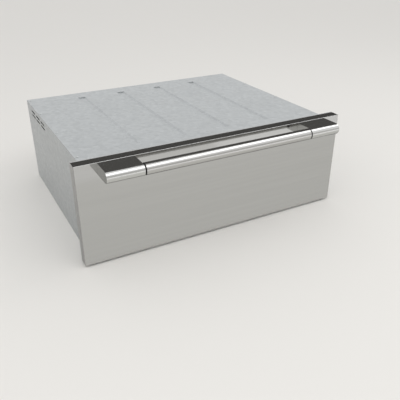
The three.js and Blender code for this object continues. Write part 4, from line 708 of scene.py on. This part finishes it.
for leg_x in (-LEG_X, 0, LEG_X):
    for leg_y in (RACK_FRONT, RACK_BACK):
        parts.append(copy_of(leg, "rack_leg_copy", move=(leg_x, leg_y, 0)))
bpy.data.objects.remove(leg)
rack = joined(parts, "wire_rack_welded")
close(rack, "drawer", "stainless_wire_bright_drawn", ["wire_rack"], smooth=50)

# %% [markdown]
# ## Heating element
# The element is one steel tube of 6.5 mm with a coiled wire in packed powder inside. It is bent cold
# in a serpentine over the cavity's floor, and heat turns its skin dark. It is made the same way here:
# a ring of points is extruded along each run and spun round each bend. Its right half is the mirror
# image of its left half, so only half of the route is written down, from a terminal to the middle.

# %% Element
TUBE_RADIUS, TUBE_BEND, TUBE_LEVEL = 3.25, 32, 36
TERMINAL_X, TERMINAL_BACK = 22, 244.3
FEED_BACK = 161
RUN_FRONT, RUN_BACK = -216, 97
OUTER_RUN, RUN_PITCH = 262.2, 75
half = [(TERMINAL_X, TERMINAL_BACK), (TERMINAL_X, FEED_BACK), (OUTER_RUN, FEED_BACK), (OUTER_RUN, RUN_FRONT)]
for number in (1, 2, 3):
    run_x = OUTER_RUN - number * RUN_PITCH
    run = [(run_x, RUN_FRONT), (run_x, RUN_BACK)]
    half += run if number % 2 else run[::-1]
route = [(-x, y) for x, y in half] + half[::-1]
element = bent_rod("heating_element_bent", TUBE_RADIUS, route, TUBE_BEND, TUBE_LEVEL, sides=16, steps=10)
close(element, "casing", "element_sheath_alloy_annealed", ["heating_element"], smooth=60)
print("the tube has", len(route) - 2, "bends")

# %% [markdown]
# ## Controls
# A knob with a fluted grip sets the temperature, a button switches the drawer on, and a small amber
# lens glows while it heats. They sit on a steel panel over the cavity and show when the drawer is open.
# The knob's flutes are pressed in two faces at a time, all round, after its rim is rounded, so that
# the rim's bevel stays clear of them. The dial has nothing but short lines and round numbers of
# degrees. They would be etched, and are raised by a few hundredths of a millimetre here, so that
# they show.

# %% Knob
KNOB = (128, 233)
KNOB_SIDES = 48
SIDE_TURN = 360 / KNOB_SIDES
SKIRT, SKIRT_BACK, SKIRT_FRONT, SKIRT_ROUND = 12, -260.3, -262.3, 0.5
GRIP, GRIP_END, GRIP_FRONT, GRIP_ROUND = 10.4, 8.6, -274.3, 0.7
FLUTE_FRONT, FLUTE_MARGIN, FLUTE_DEPTH = -273, 0.35, 0.6
STEM, STEM_BACK = 3, -248
SEAT = 0.1  # each stem starts this far inside its head
knob_middle = (KNOB[0] * MM, 0, KNOB[1] * MM)
skirt = rod_of("Y", SKIRT, SKIRT_FRONT, SKIRT_BACK, KNOB, "temperature_knob_fluted", sides=KNOB_SIDES)
pick(skirt, "faces", lambda face: face.normal.y < -0.9)
bpy.ops.mesh.inset(thickness=(SKIRT - GRIP) * MM)
bpy.ops.mesh.extrude_region_move(TRANSFORM_OT_translate={"value": (0, (GRIP_FRONT - SKIRT_FRONT) * MM, 0)})
bpy.ops.transform.resize(value=(GRIP_END / GRIP, 1, GRIP_END / GRIP), center_override=knob_middle)
pick(skirt, "edges", both_ends(Y, GRIP_FRONT))
bpy.ops.mesh.bevel(offset=GRIP_ROUND * MM, segments=3, affect="EDGES")


def on_flute(face):
    """True for two of every four faces round the grip, between the skirt and the rounded rim."""
    middle = face.calc_center_median() / MM
    turned = math.degrees(math.atan2(middle.x - KNOB[0], middle.z - KNOB[1])) % 360
    number = round(turned / SIDE_TURN - 0.5)
    return FLUTE_FRONT < middle.y < SKIRT_FRONT - 0.2 and number % 4 in (1, 2)


print("flute faces:", pick(skirt, "faces", on_flute))
bpy.ops.mesh.inset(thickness=FLUTE_MARGIN * MM, depth=-FLUTE_DEPTH * MM)
pick(skirt, "edges", rim_at(Y, SKIRT_FRONT, SKIRT, (KNOB[0], 0, KNOB[1])))
bpy.ops.mesh.bevel(offset=SKIRT_ROUND * MM, segments=3, affect="EDGES")
bpy.ops.object.mode_set(mode="OBJECT")
stem = rod_of("Y", STEM, SKIRT_BACK - SEAT, STEM_BACK, KNOB, "knob_stem", sides=24)
knob = joined([skirt, stem], "temperature_knob_fluted")
close(knob, "knob", "polyamide_black_moulded", ["temperature_knob"], smooth=30)

# %% The knob's pointer
POINTER_HALF, POINTER_START, POINTER_END = 0.8, 1.5, 8
POINTER_FRONT, POINTER_BACK, POINTER_EDGE = -275.1, -274.0, 0.25
pointer = box_of((KNOB[0] - POINTER_HALF, POINTER_FRONT, KNOB[1] + POINTER_START),
                 (KNOB[0] + POINTER_HALF, POINTER_BACK, KNOB[1] + POINTER_END), "knob_pointer_line")
pick(pointer, "edges", both_ends(Y, POINTER_FRONT))
bpy.ops.mesh.bevel(offset=POINTER_EDGE * MM, segments=2, affect="EDGES")
close(pointer, "knob", "print_ink_white", smooth=30)

# %% Dial
DIAL_FACE = -260
LINE_RELIEF = 0.04
TICKS, TICK_TURN = 7, 45
TICK_HALF, TICK_START, TICK_END = 0.3, 12.5, 13.7
NUMBER_SIZE, NUMBER_X, NUMBER_Z = 4.2, 17.4, 16.4
marks = []
for number in range(TICKS):
    angle = math.radians(TICK_TURN * number)
    tick = box_of((-TICK_HALF, DIAL_FACE - LINE_RELIEF, TICK_START), (TICK_HALF, DIAL_FACE, TICK_END), "tick")
    marks.append(copy_of(tick, "dial_tick", move=(KNOB[0], 0, KNOB[1]), turn=(0, angle, 0)))
    bpy.data.objects.remove(tick)
for degrees, turned in ((30, 45), (40, 90), (50, 135), (70, 225), (80, 270)):
    bpy.ops.object.select_all(action="DESELECT")
    bpy.ops.object.text_add()
    label = bpy.context.object
    label.data.body = str(degrees)
    label.data.size = NUMBER_SIZE * MM
    label.data.align_x = "CENTER"
    label.data.align_y = "CENTER"
    label.data.extrude = LINE_RELIEF / 2 * MM
    bpy.ops.object.convert(target="MESH")
    label = bpy.context.object
    place = (KNOB[0] + NUMBER_X * math.sin(math.radians(turned)), DIAL_FACE - LINE_RELIEF / 2,
             KNOB[1] + NUMBER_Z * math.cos(math.radians(turned)))
    marks.append(copy_of(label, "dial_number", move=place, turn=UPRIGHT))
    bpy.data.objects.remove(label)
dial = joined(marks, "dial_etched")
close(dial, "casing", "steel_etched_dark", smooth=30)

# %% Button
BUTTON = (238, 233)
CAP, CAP_FRONT, CAP_ROUND = 6.5, -265.2, 0.9
DISH_MARGIN, DISH_SLOPE, DISH_DEPTH = 0.5, 1.6, 0.7
COLLAR, COLLAR_FRONT, COLLAR_BACK = 8.5, -258.2, -256.2
cap = rod_of("Y", CAP, CAP_FRONT, COLLAR_FRONT, BUTTON, "power_button_dished", sides=KNOB_SIDES)
pick(cap, "edges", both_ends(Y, CAP_FRONT))
bpy.ops.mesh.bevel(offset=CAP_ROUND * MM, segments=4, affect="EDGES")
pick(cap, "faces", lambda face: face.normal.y < -0.999)
bpy.ops.mesh.inset(thickness=DISH_MARGIN * MM)
bpy.ops.mesh.inset(thickness=DISH_SLOPE * MM, depth=-DISH_DEPTH * MM)
bpy.ops.object.mode_set(mode="OBJECT")
collar = rod_of("Y", COLLAR, COLLAR_FRONT, COLLAR_BACK, BUTTON, "button_collar", sides=KNOB_SIDES)
stem = rod_of("Y", STEM, COLLAR_BACK - SEAT, STEM_BACK, BUTTON, "button_stem", sides=24)
button = joined([cap, collar, stem], "power_button_dished")
close(button, "button", "polyamide_black_moulded", ["power_button"], smooth=30)

# %% Lens
LENS = (274, 233)
DOME, DOME_FRONT, DOME_BACK, DOME_ROUND = 4.5, -262.3, -260.3, 1.6
NECK, NECK_BACK = 3.5, -256.8
dome = rod_of("Y", DOME, DOME_FRONT, DOME_BACK, LENS, "pilot_lens_domed", sides=40)
pick(dome, "edges", both_ends(Y, DOME_FRONT))
bpy.ops.mesh.bevel(offset=DOME_ROUND * MM, segments=6, affect="EDGES")
bpy.ops.object.mode_set(mode="OBJECT")
neck = rod_of("Y", NECK, DOME_BACK - SEAT, NECK_BACK, LENS, "lens_neck", sides=32)
lamp_lens = joined([dome, neck], "pilot_lens_domed")
close(lamp_lens, "casing", "polycarbonate_amber_moulded", ["pilot_lens"], smooth=40)

# %% [markdown]
# ## Cable gland
# The mains cable would leave the box through this gland: a threaded body, a hexagon for the spanner,
# and a ribbed nut that squeezes a seal on the cable. The grooves between its ribs are pressed in like
# the knob's flutes.

# %% Gland
GLAND = (-236, 295.3)
GLAND_SIDES = 48
NUT, NUT_LOW, NUT_HIGH, NUT_ROUND = 11, 136.7, 156.7, 4
MOUTH_MARGIN, MOUTH_DEPTH = 1, 12
GROOVE_LOW, GROOVE_MARGIN, GROOVE_DEPTH = 141, 0.4, 0.6
HEXAGON, HEXAGON_HIGH, HEXAGON_EDGE = 14, 162.7, 0.6
THREAD, THREAD_HIGH = 11, 168.7
nut = rod_of("Z", NUT, NUT_LOW, NUT_HIGH, GLAND, "cable_gland_ribbed", sides=GLAND_SIDES)
pick(nut, "edges", both_ends(Z, NUT_LOW))
bpy.ops.mesh.bevel(offset=NUT_ROUND * MM, segments=6, affect="EDGES")
pick(nut, "faces", lambda face: face.normal.z < -0.999)
bpy.ops.mesh.inset(thickness=MOUTH_MARGIN * MM)
bpy.ops.mesh.extrude_region_move(TRANSFORM_OT_translate={"value": (0, 0, MOUTH_DEPTH * MM)})


def between_ribs(face):
    """True for two of every four faces round the nut's straight part, and none inside its mouth."""
    middle = face.calc_center_median() / MM
    spoke = Vector((middle.x - GLAND[0], middle.y - GLAND[1]))
    if abs(face.normal.z) > 0.1 or spoke.length < NUT - 1 or middle.z < GROOVE_LOW:
        return False
    turned = math.degrees(math.atan2(spoke.y, spoke.x)) % 360
    return round(turned * GLAND_SIDES / 360 - 0.5) % 4 in (1, 2)


print("faces between ribs:", pick(nut, "faces", between_ribs))
bpy.ops.mesh.inset(thickness=GROOVE_MARGIN * MM, depth=-GROOVE_DEPTH * MM)
bpy.ops.object.mode_set(mode="OBJECT")
hexagon = rod_of("Z", HEXAGON, NUT_HIGH, HEXAGON_HIGH, GLAND, "gland_hexagon", sides=6)
pick(hexagon, "edges", across(Z))
bpy.ops.mesh.bevel(offset=HEXAGON_EDGE * MM, segments=2, affect="EDGES")
bpy.ops.object.mode_set(mode="OBJECT")
thread = rod_of("Z", THREAD, HEXAGON_HIGH, THREAD_HIGH, GLAND, "gland_thread", sides=GLAND_SIDES)
gland = joined([nut, hexagon, thread], "cable_gland_ribbed")
close(gland, "casing", "polyamide_black_moulded", ["cable_gland"], smooth=30)

# %% [markdown]
# ## Screws
# The sheets are held by pan-head screws with a cross recess, zinc-plated. One head is modelled: a
# short cylinder whose upper rim is rounded in three steps. Two crossed bars cut the cross, with a
# boolean each. The head is then copied to each place and turned to face outwards. The heads on the
# junction box's cover are sunk, so that they stand out by less than half a millimetre.

# %% One screw head
HEAD_RADIUS, HEAD_HEIGHT, HEAD_ROUND = 3.4, 1.6, 1.1
CROSS_REACH, CROSS_HALF, CROSS_LOW, CROSS_HIGH = 2, 0.35, 0.6, 2.5
head = rod_of("Z", HEAD_RADIUS, 0, HEAD_HEIGHT, (0, 0), "screw_head", sides=24)
pick(head, "edges", both_ends(Z, HEAD_HEIGHT))
bpy.ops.mesh.bevel(offset=HEAD_ROUND * MM, segments=3, affect="EDGES")
bpy.ops.object.mode_set(mode="OBJECT")
for half_x, half_y in ((CROSS_REACH, CROSS_HALF), (CROSS_HALF, CROSS_REACH)):
    cutter = box_of((-half_x, -half_y, CROSS_LOW), (half_x, half_y, CROSS_HIGH), "cross_bar")
    apply_modifier(head, "BOOLEAN", operation="DIFFERENCE", solver="EXACT", object=cutter)
    bpy.data.objects.remove(cutter)
FACING_UP = (0, 0, 0)
FACING_BACK = (-math.pi / 2, 0, 0)

# %% The casing's screws
COVER_SCREWS_X = 348
COVER_SCREWS_Y = (-240, -60, 120, 262)
REAR_SCREWS_X = (-270, -90, 90, 270)
REAR_SCREWS_Z = 30
BOX_SCREWS_INSET, BOX_SCREWS_SUNK = 7, 1.2
cover_top = corners_mm("top_cover")[1][Z]
rear_face = corners_mm("rear_panel")[1][Y]
box_low, box_high = corners_mm("junction_cover")
places = [((side * COVER_SCREWS_X, y, cover_top), FACING_UP) for side in (-1, 1) for y in COVER_SCREWS_Y]
places += [((x, rear_face, REAR_SCREWS_Z), FACING_BACK) for x in REAR_SCREWS_X]
for x in (box_low[X] + BOX_SCREWS_INSET, box_high[X] - BOX_SCREWS_INSET):
    for z in (box_low[Z] + BOX_SCREWS_INSET, box_high[Z] - BOX_SCREWS_INSET):
        places.append(((x, box_high[Y] - BOX_SCREWS_SUNK, z), FACING_BACK))
heads = [copy_of(head, "screw_copy", move=place, turn=turn) for place, turn in places]
print("screws in the casing:", len(heads))
casing_screws = joined(heads, "casing_screw_heads")
close(casing_screws, "casing", "steel_strip_zinc_plated", smooth=35)

# %% The drawer's screws
INNER_SHEET = 1
UPPER_SCREWS_X, UPPER_SCREWS_Z = (-340, -170, 0, 170, 340), 256
SIDE_SCREWS_X, SIDE_SCREWS_Z = 368, (60, 128, 196)
panel_face = corners_mm("front_inner_panel")[0][Y] + INNER_SHEET
places = [(x, panel_face, UPPER_SCREWS_Z) for x in UPPER_SCREWS_X]
places += [(side * SIDE_SCREWS_X, panel_face, z) for side in (-1, 1) for z in SIDE_SCREWS_Z]
heads = [copy_of(head, "screw_copy", move=place, turn=FACING_BACK) for place in places]
print("screws in the drawer:", len(heads))
drawer_screws = joined(heads, "drawer_screw_heads")
close(drawer_screws, "drawer", "steel_strip_zinc_plated", smooth=35)
bpy.data.objects.remove(head)

# %% [markdown]
# ## Paint the other solids
# The sheet pieces, the slides, the fan, the electric boxes, the seal and the insulation are right as
# they come from the CAD model, so they keep their meshes and get their finishes here.

# %% Finishes of the CAD nodes
paint = {
    "steel_sheet_hot_dip_galvanised": [
        "base_pan", "top_cover", "rear_panel", "side_panel_left", "side_panel_right", "wiring_shelf",
        "junction_box", "junction_cover"],
    "stainless_liner_cold_rolled": [
        "frame_sill", "frame_header", "frame_stile_left", "frame_stile_right", "cavity_floor",
        "cavity_roof", "cavity_back", "cavity_side_left", "cavity_side_right", "fan_cover",
        "control_panel", "front_inner_panel", "drawer_back_rail", "drawer_side_left",
        "drawer_side_right", "temperature_probe"],
    "steel_strip_zinc_plated": [
        "slide_cabinet_left", "slide_cabinet_right", "slide_middle_left", "slide_middle_right",
        "slide_drawer_left", "slide_drawer_right"],
    "steel_balls_hardened_polished": [
        "slide_outer_cage_left", "slide_outer_cage_right", "slide_inner_cage_left", "slide_inner_cage_right"],
    "steel_motor_can_painted_grey": ["fan_motor", "fan_wheel"],
    "polyamide_black_moulded": ["power_supply", "control_unit", "vent_slider"],
    "silicone_dark_grey_extruded": ["drawer_gasket"],
    "glass_wool_board": ["insulation_bottom", "insulation_top", "insulation_back", "insulation_left",
                         "insulation_right", "front_insulation"],
}
painted = set()
for finish, names in paint.items():
    for name in names:
        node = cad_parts[name]
        node.data.materials.clear()
        node.data.materials.append(finishes[finish])
        painted.add(name)
bare = [name for name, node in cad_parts.items() if name not in painted and not node.hide_render]
print("painted", len(painted), "nodes; bare:", bare)
